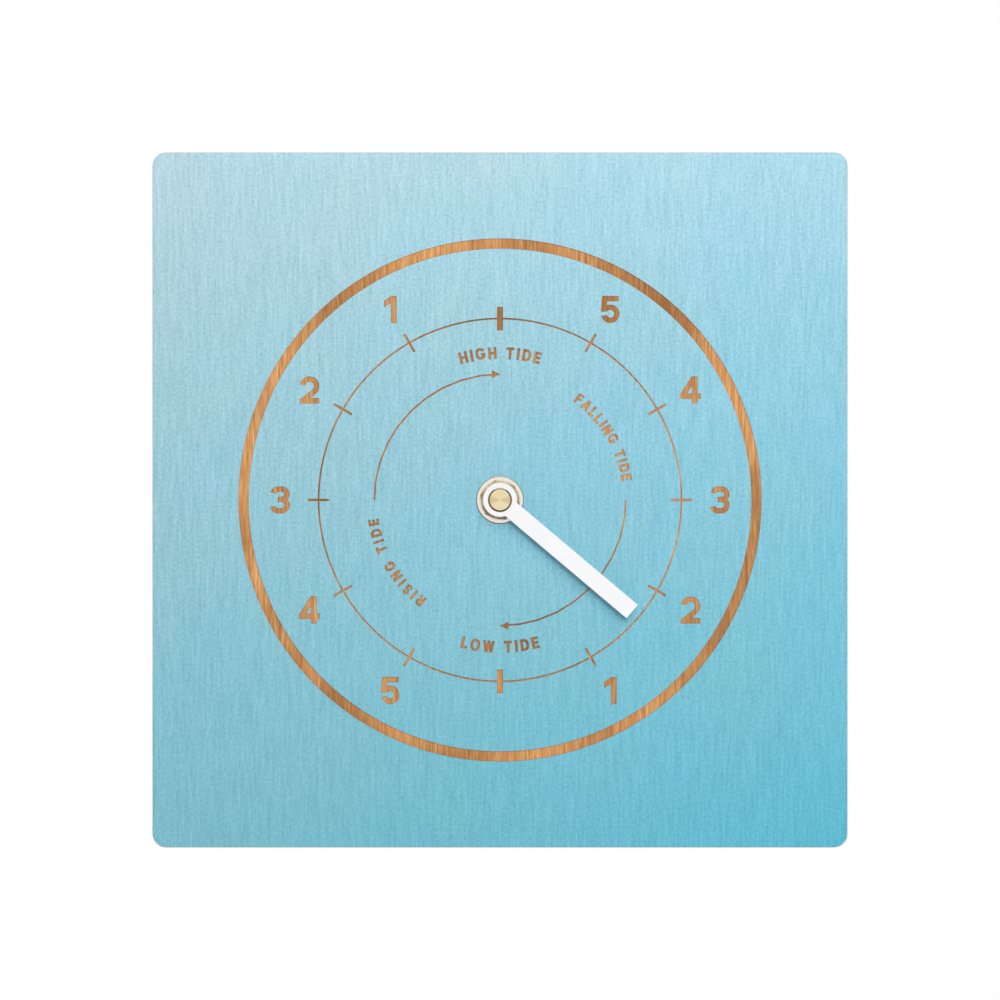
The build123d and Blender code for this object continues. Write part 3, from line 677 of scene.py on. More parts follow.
def draw_ring(mesh, radius, width):
    """A full ring, spun from one nib and closed on itself."""
    inner, outer = radius - width / 2, radius + width / 2
    nib = mesh.edges.new((mesh.verts.new((inner, 0, 0)), mesh.verts.new((outer, 0, 0))))
    bmesh.ops.spin(mesh, geom=[nib, *nib.verts], cent=(0, 0, 0), axis=(0, -1, 0), angle=tau, steps=RING_STEPS,
                   use_merge=True)


def draw_arrow_head(mesh, matrix, margin):
    """A flat triangle that points to the right at the top of the arrow's arc."""
    corners = [(0, 0, ARROW_RADIUS)]
    corners += [(-ARROW_HEAD, 0, ARROW_RADIUS + side * ARROW_HEAD / 2) for side in (1, -1)]
    head = mesh.faces.new([mesh.verts.new(matrix @ Vector(corner)) for corner in corners])
    if margin:
        border = bmesh.ops.inset_region(mesh, faces=[head], thickness=margin, use_boundary=True,
                                        use_even_offset=True)["faces"]
        bmesh.ops.delete(mesh, geom=border, context="FACES")


def draw_glyph(passes, character, height, matrix, margin):
    """One character at a size, with its lower left corner at the origin before the matrix places it."""
    for layer, start, heading, runs, keep in GLYPH_SHARES[character][1]:
        share = (margin + layer * PASS_STEP) / height
        verts = draw_stroke(passes[layer], start, heading, runs, NIB_SHARE, keep, share)
        bmesh.ops.transform(passes[layer], matrix=matrix @ Matrix.Scale(height, 4), verts=verts)


def turned(degrees):
    """A turn about the hand's axis, to the left as seen from the front."""
    return Matrix.Rotation(-radians(degrees), 4, "Y")


def draw_word(passes, text, radius, height, middle, sweep, margin, tops_out=True):
    """A word round an arc about the hand's axis; its middle is a clock angle, and its sweep fits the gaps."""
    widths = [GLYPH_SHARES[character][0] * height for character in text]
    gap = (radians(sweep) * radius - sum(widths)) / (len(text) - 1)
    travel = -radians(sweep) * radius / 2
    for character, width in zip(text, widths):
        offset = (travel + width / 2) / radius * 360 / tau
        angle = middle + offset if tops_out else middle - offset
        stands = -angle if tops_out else 180 - angle
        rise = radius - height / 2 if tops_out else -radius - height / 2
        place = turned(stands) @ Matrix.Translation((-width / 2, 0, rise))
        draw_glyph(passes, character, height, place, margin - WORD_BOLDNESS)
        travel += width + gap


print("the ring is", RING_WIDTH / MM, "mm wide")

# %% [markdown]
# The dial is drawn twice: at its full width for the charred outline, and with a margin for the clean wood. Each
# pass is a hair narrower and deeper than the one before, so that no two cuts share a wall or a floor. The fine
# circle and the arrows' arcs have no charred margin, so they are drawn the second time only.

# %% Draw the dial


def draw_lines(passes, margin):
    """The rings, the ticks and the two arrows."""
    draw_ring(passes[0], RING_RADIUS, RING_WIDTH - 2 * margin)
    if margin:
        draw_ring(passes[0], HOUR_CIRCLE_RADIUS, FINE_LINE)
    for number in range(TICK_COUNT):
        size = TICK if number % (TICK_COUNT // 2) else TIDE_MARK
        foot = (0, HOUR_CIRCLE_RADIUS - size["length"] / 2)
        tick = draw_stroke(passes[1], foot, 90, [size["length"]], size["width"], margin=margin)
        bmesh.ops.transform(passes[1], matrix=turned(-HOUR_DEGREES * number), verts=tick)
    for half_turn in (0, 180):
        draw_arrow_head(passes[1], turned(half_turn), margin)
        if margin:
            arc = draw_stroke(passes[0], (-ARROW_RADIUS, 0), 90, [(ARROW_RADIUS, -90)], FINE_LINE)
            bmesh.ops.transform(passes[0], matrix=turned(half_turn), verts=arc)


def draw_writing(passes, margin):
    """The digits down both sides and the names of the tide's states."""
    for hour in range(1, TICK_COUNT // 2):
        for side in (-1, 1):
            digit = str(hour if side < 0 else TICK_COUNT // 2 - hour)
            centre = direction(90 - side * HOUR_DEGREES * hour) * DIGIT_RADIUS
            corner = centre - Vector((GLYPH_SHARES[digit][0], 0, 1)) * DIGIT_HEIGHT / 2
            draw_glyph(passes, digit, DIGIT_HEIGHT, Matrix.Translation(corner), margin)
    draw_word(passes, "HIGH TIDE", STATE_RADIUS, STATE_HEIGHT, 0, 32.0, margin)
    draw_word(passes, "LOW TIDE", STATE_RADIUS, STATE_HEIGHT, 180, 30.3, margin, tops_out=False)
    draw_word(passes, "FALLING TIDE", FLOW_RADIUS, FLOW_HEIGHT, 59.0, 44.5, margin)
    draw_word(passes, "RISING TIDE", FLOW_RADIUS, FLOW_HEIGHT, 239.0, 44.5, margin)


def draw_dial(margin):
    """Everything on the dial as flat strips, one mesh for each pass."""
    passes = [bmesh.new() for _ in range(PASS_COUNT)]
    draw_lines(passes, margin)
    draw_writing(passes, margin)
    print("faces to cut in each pass", [len(mesh.faces) for mesh in passes])
    return passes


charred_strips = draw_dial(0.0)
clean_strips = draw_dial(CHAR_WIDTH)

# %% [markdown]
# ## Helpers for solids
# These do what comes back on every piece: bevel edges, join or cut pieces, give a piece its finishes, and let it take
# its node's place.

# %% Helpers for solids
MERGE = 0.001 * MM
SLIVER = 0.0005 * MM
BODY_OF = {node: body for body, members in frame["record"]["behaviour"]["bodies"].items() for node in members}
SLOT_OF = {part["node"]: part["material_slot"] for part in frame["record"]["subparts"]}


def cuboid(size, middle):
    mesh = bmesh.new()
    bmesh.ops.create_cube(mesh, size=1)
    bmesh.ops.scale(mesh, verts=mesh.verts, vec=size)
    bmesh.ops.translate(mesh, verts=mesh.verts, vec=middle)
    return mesh


def bevel(mesh, edges, width, segments):
    bmesh.ops.bevel(mesh, geom=edges, affect="EDGES", offset=width, segments=segments, profile=0.5, material=-1)


def extruded(mesh, faces, depth):
    """Grows faces by a depth along Y, with the normals outward."""
    grown = bmesh.ops.extrude_face_region(mesh, geom=faces)["geom"]
    bmesh.ops.translate(mesh, verts=of_kind(grown, bmesh.types.BMVert), vec=(0, depth, 0))
    bmesh.ops.recalc_face_normals(mesh, faces=mesh.faces)


def bake_modifiers(piece):
    """Puts the modified shape into the mesh itself."""
    graph = bpy.context.evaluated_depsgraph_get()
    piece.data = bpy.data.meshes.new_from_object(piece.evaluated_get(graph))
    piece.modifiers.clear()


def combine(piece, others, operation, solver):
    """Joins, cuts or crosses the piece with each of the others in turn, and leaves no modifier behind."""
    for other in others:
        modifier = piece.modifiers.new(other.name, "BOOLEAN")
        modifier.operation = operation
        modifier.solver = solver
        modifier.object = other
    bake_modifiers(piece)
    for other in others:
        bpy.data.objects.remove(other)


def stand_for(piece, node, *finishes, which=None):
    """A piece gets its finishes, each face's by a function, and takes a node's place and body."""
    piece.data.materials.clear()
    for finish in finishes:
        piece.data.materials.append(finish)
    for face in piece.data.polygons if which else ():
        face.material_index = int(which(face))
    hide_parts(node)
    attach(piece, BODY_OF[node])
    print(piece.name, len(piece.data.polygons), "faces")


print(len(SLOT_OF), "nodes have a slot")

# %% [markdown]
# ## Cutting the board
# The blank is a box with rounded corners and softened rims. A laser chars a narrow margin along every broad stroke
# and leaves clean wood inside it, so each pass is cut twice: shallow at its full width, then deeper inside the
# margin. The manifold solver keeps the board closed through all the crossing cuts. Each face then gets its finish
# by its depth and the way it looks.

# %% Make the board
ENGRAVING_DEPTH = 0.3 * MM
CHAR_DEPTH = 0.1 * MM
CUTTER_RISE = 1.0 * MM
CORNER_RADIUS = 4.0 * MM
CORNER_SEGMENTS = 12
RIM_SOFTNESS = 0.25 * MM
BOARD_HOLE_RADIUS = 4.2 * MM
HOLE_SEGMENTS = 64


def along_y(edge):
    run = edge.verts[1].co - edge.verts[0].co
    return abs(run.y) > run.length / 2


def board_blank():
    mesh = cuboid(board_high - board_low, (board_low + board_high) / 2)
    bevel(mesh, [edge for edge in mesh.edges if along_y(edge)], CORNER_RADIUS, CORNER_SEGMENTS)
    bevel(mesh, [edge for edge in mesh.edges if not along_y(edge)], RIM_SOFTNESS, 2)
    return new_object("engraved_board", mesh)


def cutter_from(mesh, name, depth):
    """The flat strips of one pass, made into solids that reach into the board."""
    bmesh.ops.remove_doubles(mesh, verts=mesh.verts, dist=MERGE)
    bmesh.ops.translate(mesh, verts=mesh.verts, vec=(0, face_y - CUTTER_RISE, 0))
    extruded(mesh, mesh.faces[:], CUTTER_RISE + depth)
    return new_object(name, mesh)


def hole_cutter():
    mesh = bmesh.new()
    depth = board_high.y - board_low.y + 2 * CUTTER_RISE
    bmesh.ops.create_cone(mesh, cap_ends=True, segments=HOLE_SEGMENTS, radius1=BOARD_HOLE_RADIUS,
                          radius2=BOARD_HOLE_RADIUS, depth=depth)
    bmesh.ops.rotate(mesh, verts=mesh.verts, cent=(0, 0, 0), matrix=Matrix.Rotation(radians(90), 3, "X"))
    bmesh.ops.translate(mesh, verts=mesh.verts, vec=(0, (board_low.y + board_high.y) / 2, 0))
    return new_object("board_hole", mesh)


def drop_slivers(piece):
    """Takes out the faces of no area that the cuts leave along their walls."""
    mesh = bmesh.new()
    mesh.from_mesh(piece.data)
    before = len(mesh.faces)
    bmesh.ops.dissolve_degenerate(mesh, edges=mesh.edges, dist=SLIVER)
    mesh.to_mesh(piece.data)
    open_edges = sum(not edge.is_manifold for edge in mesh.edges)
    print("slivers taken out", before - len(mesh.faces), "open edges", open_edges)
    mesh.free()


def board_finish(face):
    """Which finish a face of the board has, by where it lies and which way it looks."""
    depth = face.center.y - face_y
    off_middle = max(abs(face.center.x), abs(face.center.z))
    outside = off_middle > board_side / 2 - CORNER_RADIUS and face.normal.y > -0.5
    if face.normal.y > 0.5:
        return BACK
    if face.normal.y < -0.5 and depth < CHAR_DEPTH / 2:
        return PAINT
    if face.normal.y < -0.5 and depth > (CHAR_DEPTH + ENGRAVING_DEPTH) / 2:
        return FLOOR
    return EDGE if outside or depth > 2 * ENGRAVING_DEPTH else WALL


board = board_blank()
cutters = [hole_cutter()]
for number in range(PASS_COUNT):
    deeper = number * PASS_STEP
    cutters.append(cutter_from(charred_strips[number], f"char_{number}", CHAR_DEPTH + deeper))
    cutters.append(cutter_from(clean_strips[number], f"clean_{number}", ENGRAVING_DEPTH + deeper))
combine(board, cutters, "DIFFERENCE", "MANIFOLD")
drop_slivers(board)
stand_for(board, "board", *BOARD_FINISHES, which=board_finish)

# %% [markdown]
# ## Turned metal and handling marks
# Two effects come back on several finishes. Turned metal has fine rings left by the lathe's tool, and wedges of
# light and shade. And everything that is handled has faint smudges, which change its gloss more than its colour.

# %% Groups for metal and smudges
SPECK_RATIO = 12.0


def turning_group():
    """Rings, painted reflection wedges and the radius about an axis along Y."""
    group, given = new_group("turning_lines", Vector="Vector", Scale="Float")
    place = separated(given["Vector"])
    flat = add_node("CombineXYZ", X=place["X"], Y=place["Z"]).outputs[0]
    radius = add_node("VectorMath", {"operation": "LENGTH"}, _0=flat).outputs["Value"]
    line = add_node("CombineXYZ", X=radius).outputs[0]
    angle = maths("ARCTAN2", place["Z"], place["X"])
    reflection_wedge = maths("ABSOLUTE", maths("COSINE", angle))
    return closed(group, Ring=noise(line, given["Scale"], 3.0, 0.7), Wedge=reflection_wedge, Radius=radius)


def smudge_group():
    """Soft blotches and finer specks."""
    group, given = new_group("handling_marks", Vector="Vector", Scale="Float")
    smudge = noise(given["Vector"], given["Scale"], 4.0, 0.6)
    speck = noise(given["Vector"], maths("MULTIPLY", given["Scale"], SPECK_RATIO))
    return closed(group, Smudge=smudge, Speck=speck)


turning_lines = turning_group()
handling_marks = smudge_group()


def marks_of(tree, scale):
    return placed_group(tree, handling_marks, Scale=scale)


# %% [markdown]
# ## Brass
# The washer, nut, bush and cap are turned brass with a pale, warm gloss. The tool's rings show in the colour and
# the relief. The cap's face is brushed as well, and its two darker wedges to the left and right are a painted
# reflection. The washer's brown band by the nut, strongest below, is painted shade and painted reflection.

# %% Brass finishes
TOOL_SCALE = 9000
SHADE_BELOW_RISE = 4 * MM


def tarnish_mask(tree, radius, smudge, inner, outer):
    """Painted shade and painted reflection of the nut: brown within a band between two radii, in patches, most of all
    below.
    """
    band = mapped(radius, inner, outer, 1.0, 0.0)
    patch = mapped(smudge, 0.3, 0.55, 0.4, 1.0)
    height = separated(object_place(tree))["Z"]
    # Painted shade: darker towards the bottom.
    below = mapped(height, SHADE_BELOW_RISE, -SHADE_BELOW_RISE, 0.35, 1.0)
    return maths("MULTIPLY", maths("MULTIPLY", band, patch), below)


def brass(name, pale, deep, metallic=0.6, reflection_wedge_share=0.0, nut_shade=None, dullness=0.28):
    """Turned brass in two tones; a piece with painted nut shade gives its band's radii and its brown."""
    material, tree = new_finish(name, Metallic=metallic)
    turning = placed_group(tree, turning_lines, Scale=TOOL_SCALE)
    smudge = marks_of(tree, 900)["Smudge"]
    ring = mapped(turning["Ring"], 0.35, 0.65, 0.0, 0.5)
    # Painted reflection: darker wedges to the left and right of the axis.
    reflection_wedge = mapped(turning["Wedge"], 0.75, 1.0, 0.0, reflection_wedge_share)
    tone = mixed(maths("MAXIMUM", ring, reflection_wedge), pale, deep)
    if nut_shade:
        inner, outer, brown = nut_shade
        tone = mixed(tarnish_mask(tree, turning["Radius"], smudge, inner, outer), tone, brown)
    return dressed(material, tone, spread(smudge, dullness, dullness + 0.1), (turning["Ring"], 0.3, 0.03 * MM))


# The washer's brown band next to the nut is painted shade and painted reflection, strongest below.
WASHER_BRASS = brass("washer_brass", colour(244, 238, 224), colour(230, 220, 200), metallic=0.9,
                     nut_shade=(5.3 * MM, 5.9 * MM, colour(96, 70, 48)), dullness=0.14)
# The rim's colour is a darker copy of the washer's brass: painted shade along the edge.
RIM_BRASS_PAINTED_SHADE = brass("rim_brass_painted_shade", colour(214, 208, 194), colour(198, 187, 166), metallic=0.9)
NUT_BRASS = brass("nut_brass", colour(238, 226, 198), colour(218, 196, 158), metallic=0.35)
# The chamfers' colour is a darker copy of the nut's brass: painted shade and painted reflection at the corners.
CHAMFER_BRASS_PAINTED_SHADE = brass("chamfer_brass_painted_shade", colour(214, 190, 152), colour(186, 156, 116), metallic=0.7)
# The cap's two darker wedges are a painted reflection.
CAP_BRASS = brass("cap_brass", colour(255, 240, 196), colour(222, 192, 142), reflection_wedge_share=0.8)
print("brass finishes:", *(finish.name for finish in (WASHER_BRASS, RIM_BRASS_PAINTED_SHADE, NUT_BRASS, CHAMFER_BRASS_PAINTED_SHADE, CAP_BRASS)))

# %% [markdown]
# ## Lathe and soft edges
# A turned piece is a profile spun about an axis. No real edge is quite sharp, so a small bevel rounds each one and
# it catches the light. The large faces' own normals win, so that a flat face still looks flat.

# %% Lathe and soft edges
LATHE_STEPS = 96


def lathed(name, profile, axis=(0, 1, 0), centre=(0, 0, 0)):
    """A solid spun about an axis through the centre, from a closed profile of (radius, place along the axis)."""
    mesh = bmesh.new()
    outward = Vector((axis[1], axis[2], axis[0]))
    verts = [mesh.verts.new(Vector(centre) + Vector(axis) * along + outward * radius) for radius, along in profile]
    radii = [radius for radius, _ in profile]
    ends = zip(zip(verts, radii), zip(verts[1:] + verts[:1], radii[1:] + radii[:1]))
    edges = [mesh.edges.new((start, end)) for (start, near), (end, far) in ends if near or far]
    bmesh.ops.spin(mesh, geom=verts + edges, cent=centre, axis=axis, angle=tau, steps=LATHE_STEPS, use_merge=True)
    bmesh.ops.remove_doubles(mesh, verts=mesh.verts, dist=MERGE / 2)
    bmesh.ops.recalc_face_normals(mesh, faces=mesh.faces)
    return new_object(name, mesh)


def soften(piece, width, segments=2, angle=30):
    """Rounds the edges that are sharper than an angle, and shades the piece smooth."""
    for face in piece.data.polygons:
        face.use_smooth = True
    modifier = piece.modifiers.new("soft_edges", "BEVEL")
    modifier.width = width
    modifier.segments = segments
    modifier.limit_method = "ANGLE"
    modifier.angle_limit = radians(angle)
    weighted = piece.modifiers.new("flat_faces_stay_flat", "WEIGHTED_NORMAL")
    weighted.mode = "FACE_AREA"
    weighted.keep_sharp = True
    bake_modifiers(piece)


print("a turned piece has", LATHE_STEPS, "steps")

# %% [markdown]
# ## Washer, nut and bush
# The washer's rim is rougher than its face, and its darker colour is painted shade along the edge. The nut is a
# hexagon crossed with a turned blank, which takes off its corners at the front and chamfers its bore; the
# chamfers' darker colour is painted shade and painted reflection. The bush's nose has its thread cut as real ridges.

# %% Washer, nut and bush
washer_low, washer_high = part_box("brass_washer")
nut_low, nut_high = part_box("hex_nut")
bush_low, bush_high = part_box("threaded_bush")
flange_rear, flange_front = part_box("case_front")[0].y, board_high.y
BUSH_RADIUS = 4.0 * MM
TUBE_RADIUS = 2.5 * MM
BORE_RADIUS = TUBE_RADIUS + 0.06 * MM
THREAD_PITCH = 0.75 * MM
THREAD_DEPTH = 0.25 * MM
THREAD_ROOT = BUSH_RADIUS - THREAD_DEPTH
THREAD_SHAPE = ((THREAD_ROOT, 0.15), (BUSH_RADIUS, 0.45), (BUSH_RADIUS, 0.6), (THREAD_ROOT, 0.9))
THREAD_END = 0.2 * MM
NUT_TURN = 45
SOFT_METAL = 0.12 * MM
FACING_FRONT = -0.98


def reach(face):
    """How far a face's middle lies from the hand's axis."""
    return hypot(face.center.x, face.center.z)


def on_chamfer(face):
    """Whether a face of the nut is neither its front nor its bore."""
    return reach(face) > BUSH_RADIUS + SOFT_METAL and face.normal.y > FACING_FRONT


def make_nut():
    """The hexagon is as wide as the node's box, in which its corners stand 15 degrees off the sides' middles."""
    corner_radius = (nut_high.x - nut_low.x) / 2 / cos(radians(15))
    flat_radius = corner_radius * cos(radians(30))
    depth = nut_high.y - nut_low.y
    mesh = bmesh.new()
    corners = [direction(NUT_TURN + 60 * number) * corner_radius + Vector((0, nut_low.y, 0)) for number in range(6)]
    front = mesh.faces.new([mesh.verts.new(corner) for corner in corners])
    extruded(mesh, [front], depth)
    piece = new_object("hex_nut_faced", mesh)
    slope = corner_radius * 2 - flat_radius
    blank = lathed("nut_blank", [
        (BUSH_RADIUS, nut_high.y + depth),
        (BUSH_RADIUS, nut_low.y + THREAD_DEPTH),
        (BUSH_RADIUS + THREAD_DEPTH, nut_low.y),
        (flat_radius, nut_low.y),
        (flat_radius + slope, nut_low.y + slope / 2),
        (flat_radius + slope, nut_high.y + depth),
    ])
    combine(piece, [blank], "INTERSECT", "EXACT")
    return piece


def thread_profile(rear, front):
    """Points from rear to front along the bush's nose, whose thread is cut as ridges."""
    count = round((rear - front) / THREAD_PITCH)
    pitch = (rear - front) / count
    return [(radius, rear - (number + share) * pitch) for number in range(count) for radius, share in THREAD_SHAPE]


washer = lathed("brass_washer_turned", [
    (BUSH_RADIUS, washer_high.y),
    (BUSH_RADIUS, washer_low.y),
    (washer_high.x, washer_low.y),
    (washer_high.x, washer_high.y),
])
soften(washer, 0.3 * MM, 3)
stand_for(washer, "brass_washer", WASHER_BRASS, RIM_BRASS_PAINTED_SHADE, which=lambda face: face.normal.y > FACING_FRONT)

nut = make_nut()
soften(nut, 0.08 * MM)
stand_for(nut, "hex_nut", NUT_BRASS, CHAMFER_BRASS_PAINTED_SHADE, which=on_chamfer)

bush = lathed("threaded_bush_cut", [
    (BORE_RADIUS, bush_high.y),
    (BUSH_RADIUS, bush_high.y),
    (BUSH_RADIUS, flange_rear),
    (bush_high.x, flange_rear),
    (bush_high.x, flange_front),
    (THREAD_ROOT, flange_front),
    *thread_profile(flange_front, bush_low.y + THREAD_END),
    (THREAD_ROOT, bush_low.y),
    (BORE_RADIUS, bush_low.y),
])
soften(bush, 0.03 * MM, 1)
stand_for(bush, "threaded_bush", NUT_BRASS)

# %% [markdown]
# ## Cap
# The cap plugs the end of the hand's tube. It is a round boss with a shallow dish in its face, and a brown skirt
# slopes from the boss to the hub. The skirt is lit at the top and in the boss's shadow below, which is the dark
# ring of the photograph.

# %% Cap
cap_low, cap_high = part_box("hand_cap")
hand_low, hand_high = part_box("tide_hand")
BOSS_RADIUS = 2.98 * MM
DISH_RADIUS = 2.7 * MM
DISH_DEPTH = 0.05 * MM
DISH_BEND = (DISH_RADIUS * 0.7, DISH_DEPTH * 0.6)
SKIRT_TOP = 0.36 * MM
SKIRT_FOOT = 0.05 * MM
STEM_RADIUS = 1.56 * MM


def dark_brass():
    material, tree = new_finish("dark_brass", Metallic=0.8)
    marks = marks_of(tree, 1500)
    tone = shaded(marks["Smudge"], colour(160, 142, 124), colour(192, 176, 158))
    return dressed(material, tone, spread(marks["Speck"], 0.12, 0.25))


def on_skirt(face):
    return reach(face) > BOSS_RADIUS - SOFT_METAL / 2 and face.center.y > cap_low.y + SOFT_METAL


cap = lathed("hand_cap_turned", [
    (0, cap_low.y + DISH_DEPTH),
    (DISH_BEND[0], cap_low.y + DISH_BEND[1]),
    (DISH_RADIUS, cap_low.y),
    (BOSS_RADIUS, cap_low.y),
    (BOSS_RADIUS, hand_low.y - SKIRT_TOP),
    (cap_high.x, hand_low.y - SKIRT_FOOT),
    (cap_high.x, hand_low.y),
    (STEM_RADIUS, hand_low.y),
    (STEM_RADIUS, cap_high.y),
    (0, cap_high.y),
])
soften(cap, 0.05 * MM)
stand_for(cap, "hand_cap", CAP_BRASS, dark_brass(), which=on_skirt)

# %% [markdown]
# ## Hand
# The hand is one flat strip of white-lacquered metal with a square tip and a round hub, and a collar behind that
# grips the tube. Strip and hub are one sheet, so they are joined before their edges are rounded. The lacquer is
# smooth, with a faint orange-peel relief.

# %% Hand
HAND_LENGTH = 49.6 * MM
HAND_WIDTH = 5.0 * MM
HAND_THICKNESS = 0.5 * MM
HUB_RADIUS = 4.8 * MM
COLLAR_RADIUS = 3.6 * MM
HAND_TURN = -40.16
hand_back = hand_low.y + HAND_THICKNESS


def white_lacquer():
    material, tree = new_finish("white_lacquer")
    marks = marks_of(tree, 160)
    tone = shaded(marks["Smudge"], colour(244, 244, 246), colour(249, 249, 251))
    return dressed(material, tone, spread(marks["Smudge"], 0.32, 0.46), (marks["Speck"], 0.12, 0.02 * MM))


def make_hand():
    """The strip and hub joined, with the hub's hole for the tube."""
    middle = (HAND_LENGTH / 2, hand_low.y + HAND_THICKNESS / 2, 0)
    mesh = cuboid((HAND_LENGTH, HAND_THICKNESS, HAND_WIDTH), middle)
    bmesh.ops.transform(mesh, matrix=turned(HAND_TURN), verts=mesh.verts)
    strip = new_object("tide_hand_cut", mesh)
    hub = lathed("hub", [
        (0, hand_low.y),
        (HUB_RADIUS, hand_low.y),
        (HUB_RADIUS, hand_back),
        (COLLAR_RADIUS, hand_back),
        (COLLAR_RADIUS, hand_high.y),
        (0, hand_high.y),
    ])
    hole = lathed("tube_hole", [
        (0, hand_low.y - HAND_THICKNESS),
        (TUBE_RADIUS, hand_low.y - HAND_THICKNESS),
        (TUBE_RADIUS, hand_high.y + HAND_THICKNESS),
        (0, hand_high.y + HAND_THICKNESS),
    ])
    combine(strip, [hub], "UNION", "EXACT")
    combine(strip, [hole], "DIFFERENCE", "MANIFOLD")
    return strip


hand = make_hand()
soften(hand, 0.07 * MM)
stand_for(hand, "tide_hand", white_lacquer())

# %% [markdown]
# ## Moulded plastic and rubber
# The case, cover and knob are black plastic with the fine, even grain of a spark-eroded mould. The wheels and bobbin
# are a natural, slightly milky plastic. The pad is matt rubber.

# %% Plastic and rubber
MELT_SCALE = 60
MELT_STRETCH = (1.0, 1.0, 0.4)


def mould_group():
    """The even pebble grain that a surface takes from its mould, and the broad flow of the melt."""
    group, given = new_group("mould_grain", Vector="Vector", Scale="Float")
    flow = noise(stretched(given["Vector"], MELT_STRETCH), MELT_SCALE)
    return closed(group, Pebble=noise(given["Vector"], given["Scale"]), Flow=flow)


mould_grain = mould_group()


def moulded(name, deep, pale, grain_scale, relief, gloss):
    """A moulded finish: two tones, a grain, its relief and a range of roughness."""
    material, tree = new_finish(name)
    skin = placed_group(tree, mould_grain, Scale=grain_scale)
    smudge = marks_of(tree, 120)["Smudge"]
    tone = shaded(skin["Flow"], deep, pale)
    return dressed(material, tone, spread(smudge, *gloss), (skin["Pebble"], relief, 0.05 * MM))


BLACK_PLASTIC = moulded("black_plastic", colour(34, 34, 36), colour(44, 44, 46), 5200, 0.5, (0.42, 0.55))
KNOB_PLASTIC = moulded("knob_plastic", colour(58, 58, 61), colour(70, 70, 73), 3000, 0.2, (0.3, 0.42))
BLACK_RUBBER = moulded("black_rubber", colour(36, 36, 36), colour(46, 46, 45), 3500, 0.6, (0.75, 0.9))
NATURAL_PLASTIC = moulded("natural_plastic", colour(226, 221, 206), colour(236, 232, 220), 2500, 0.1, (0.3, 0.42))

# %% [markdown]
# ## Case, cover, knob and pad
# These solids already have their shape, but a moulded edge is never quite sharp. A copy of each node is merged into
# whole faces, and its edges are rounded by a tenth or two of a millimetre.

# %% Softened copies
SAME_PLANE_DEGREES = 0.5
SOFTENED = {
    "case_front": ("case_front_moulded", 0.2 * MM, BLACK_PLASTIC),
    "rear_cover": ("rear_cover_moulded", 0.2 * MM, BLACK_PLASTIC),
    "setting_knob": ("setting_knob_moulded", 0.12 * MM, KNOB_PLASTIC),
    "rubber_gasket": ("rubber_gasket_cut", 0.1 * MM, BLACK_RUBBER),
}

for node, (name, width, finish) in SOFTENED.items():
    mesh = bmesh.new()
    mesh.from_mesh(nodes[node].data)
    bmesh.ops.remove_doubles(mesh, verts=mesh.verts, dist=MERGE)
    bmesh.ops.dissolve_limit(mesh, angle_limit=radians(SAME_PLANE_DEGREES), verts=mesh.verts, edges=mesh.edges)
    piece = new_object(name, mesh)
    soften(piece, width)
    stand_for(piece, node, finish)

# %% [markdown]
# ## Battery and steel
# A penlight cell is a steel can in a printed sleeve that is rolled over both ends, with bare steel inside the roll
# and a pressed nub. The sleeve here is a plain grey-green with a pale band near the nub's end. The cell is one
# profile spun about its own axis.

# %% Battery
battery_low, battery_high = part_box("battery")
CELL_RADIUS = (battery_high.z - battery_low.z) / 2
CELL_Y = (battery_low.y + battery_high.y) / 2
CELL_Z = (battery_low.z + battery_high.z) / 2
NUB_RADIUS = 2.75 * MM
NUB_LENGTH = 1.0 * MM
SLEEVE_ROLL = 0.5 * MM
SLEEVE_RIM = 5.6 * MM
END_RECESS = 0.25 * MM
BAND_WIDTH = 5.0 * MM
cell_left, cell_right = battery_low.x, battery_high.x - NUB_LENGTH


def sleeve_print():
    material, tree = new_finish("battery_sleeve", Coat_Weight=0.4, Coat_Roughness=0.15)
    marks = marks_of(tree, 220)
    along = separated(object_place(tree))["X"]
    after = maths("GREATER_THAN", along, cell_right - 2 * BAND_WIDTH)
    before = maths("LESS_THAN", along, cell_right - BAND_WIDTH)
    body = shaded(marks["Smudge"], colour(52, 74, 72), colour(60, 84, 80))
    tone = mixed(maths("MULTIPLY", after, before), body, colour(206, 208, 200))
    return dressed(material, tone, spread(marks["Smudge"], 0.3, 0.42), (marks["Speck"], 0.1, 0.03 * MM))


def bright_steel():
    """Rolled or pressed steel, with faint lines along the strip."""
    material, tree = new_finish("bright_steel", Metallic=1.0)
    smudge = marks_of(tree, 400)["Smudge"]
    lines = noise(stretched(object_place(tree), (1, 1, 0.03)), 9000, 2.0, 0.6)
    tone = shaded(lines, colour(176, 177, 178), colour(198, 199, 200))
    return dressed(material, tone, spread(smudge, 0.22, 0.34), (lines, 0.15, 0.02 * MM))


def is_bare(face):
    """Whether a face of the cell is bare steel: an end inside the sleeve's roll, or the nub."""
    inside_roll = hypot(face.center.y - CELL_Y, face.center.z - CELL_Z) < SLEEVE_RIM
    return inside_roll or min(face.center.x - cell_left, cell_right - face.center.x) < -END_RECESS


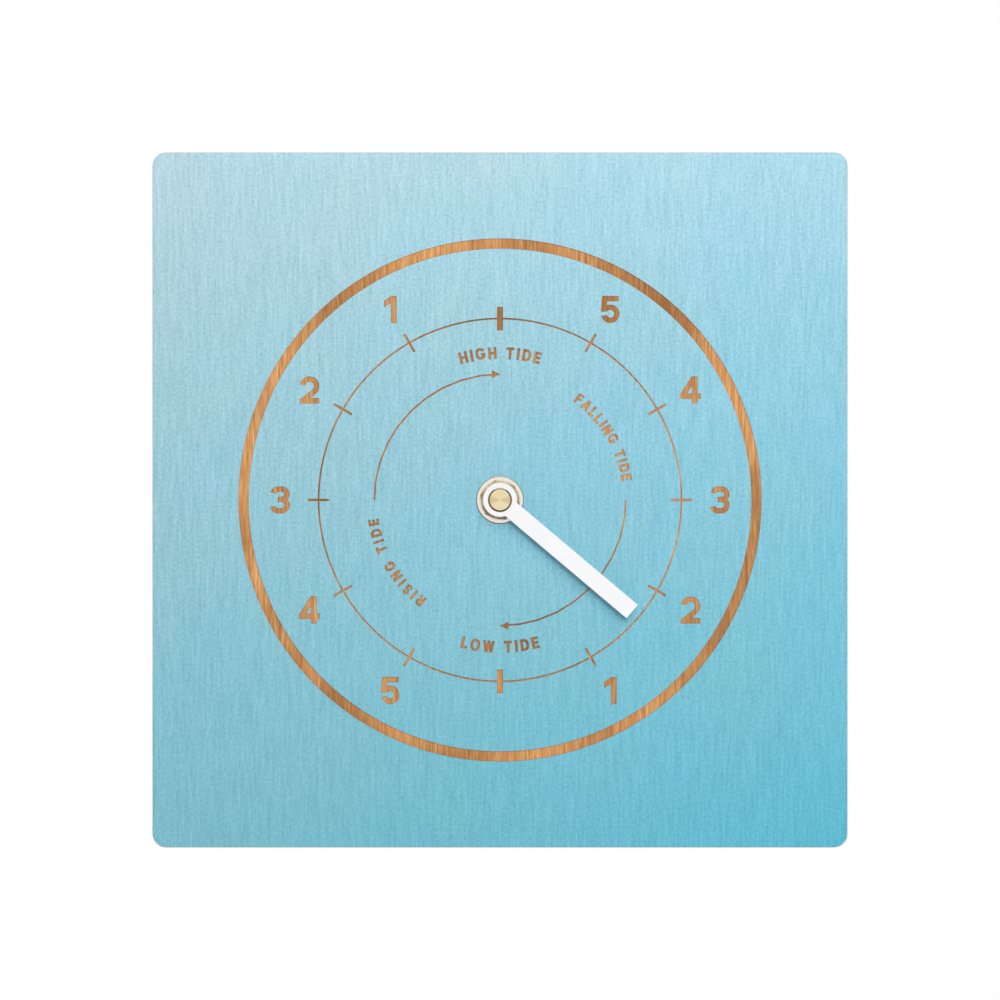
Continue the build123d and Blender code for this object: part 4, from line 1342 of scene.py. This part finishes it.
STEEL = bright_steel()
battery = lathed("battery_cell", [
    (0, cell_left + END_RECESS),
    (SLEEVE_RIM, cell_left + END_RECESS),
    (SLEEVE_RIM + END_RECESS, cell_left),
    (CELL_RADIUS - SLEEVE_ROLL, cell_left),
    (CELL_RADIUS, cell_left + SLEEVE_ROLL),
    (CELL_RADIUS, cell_right - SLEEVE_ROLL),
    (CELL_RADIUS - SLEEVE_ROLL, cell_right),
    (SLEEVE_RIM + END_RECESS, cell_right),
    (SLEEVE_RIM, cell_right - END_RECESS),
    (NUB_RADIUS, cell_right - END_RECESS),
    (NUB_RADIUS, battery_high.x),
    (0, battery_high.x),
], axis=(1, 0, 0), centre=(0, CELL_Y, CELL_Z))
soften(battery, 0.15 * MM, 3, 20)
stand_for(battery, "battery", sleeve_print(), STEEL, which=is_bare)

# %% [markdown]
# ## Inside the movement
# The wheels, motor and circuit stay as the model gives them, because nothing shows of them until the cover is off.
# Each still gets its own finish, by its node's material slot in the record.

# %% Finishes for the inner pieces


def plain_finish(name, deep, pale, scale, gloss, coat=0.0):
    """Two tones in a fine noise, with a range of roughness."""
    material, tree = new_finish(name, Coat_Weight=coat)
    fleck = noise(object_place(tree), scale, 3.0, 0.6)
    return dressed(material, shaded(fleck, deep, pale), spread(fleck, *gloss), (fleck, 0.15, 0.03 * MM))


def wound_wire():
    """Enamelled wire wound round the bobbin: each turn is a rounded line across X."""
    material, tree = new_finish("wound_wire", Metallic=1.0, Coat_Weight=0.5, Coat_Roughness=0.2)
    wave = add_node("TexWave", {"bands_direction": "X"}, Vector=object_place(tree), Scale=2400.0,
                    Distortion=0.6, Detail=1.0).outputs["Fac"]
    # The tone is painted shade between the turns and a painted highlight on their crowns.
    tone = mixed(wave, colour(120, 58, 30), colour(196, 108, 62))
    return dressed(material, tone, mapped(wave, 0.0, 1.0, 0.4, 0.25), (wave, 0.6, 0.05 * MM))


INNER_FINISHES = {
    "natural_plastic": NATURAL_PLASTIC,
    "steel": STEEL,
    "magnet": plain_finish("ferrite", colour(52, 52, 54), colour(70, 70, 72), 4000, (0.5, 0.65)),
    "copper_wire": wound_wire(),
    "board_laminate": plain_finish("laminate", colour(126, 84, 40), colour(146, 100, 52), 1200, (0.3, 0.4), 0.3),
    "black_resin": plain_finish("resin_drop", colour(16, 16, 17), colour(24, 24, 26), 800, (0.12, 0.2)),
}
shown = {node: holder for node, holder in nodes.items() if not holder.hide_render}
for node, holder in shown.items():
    for slot in holder.material_slots:
        slot.material = INNER_FINISHES[SLOT_OF[node]]
print("shown CAD nodes", sorted(shown))
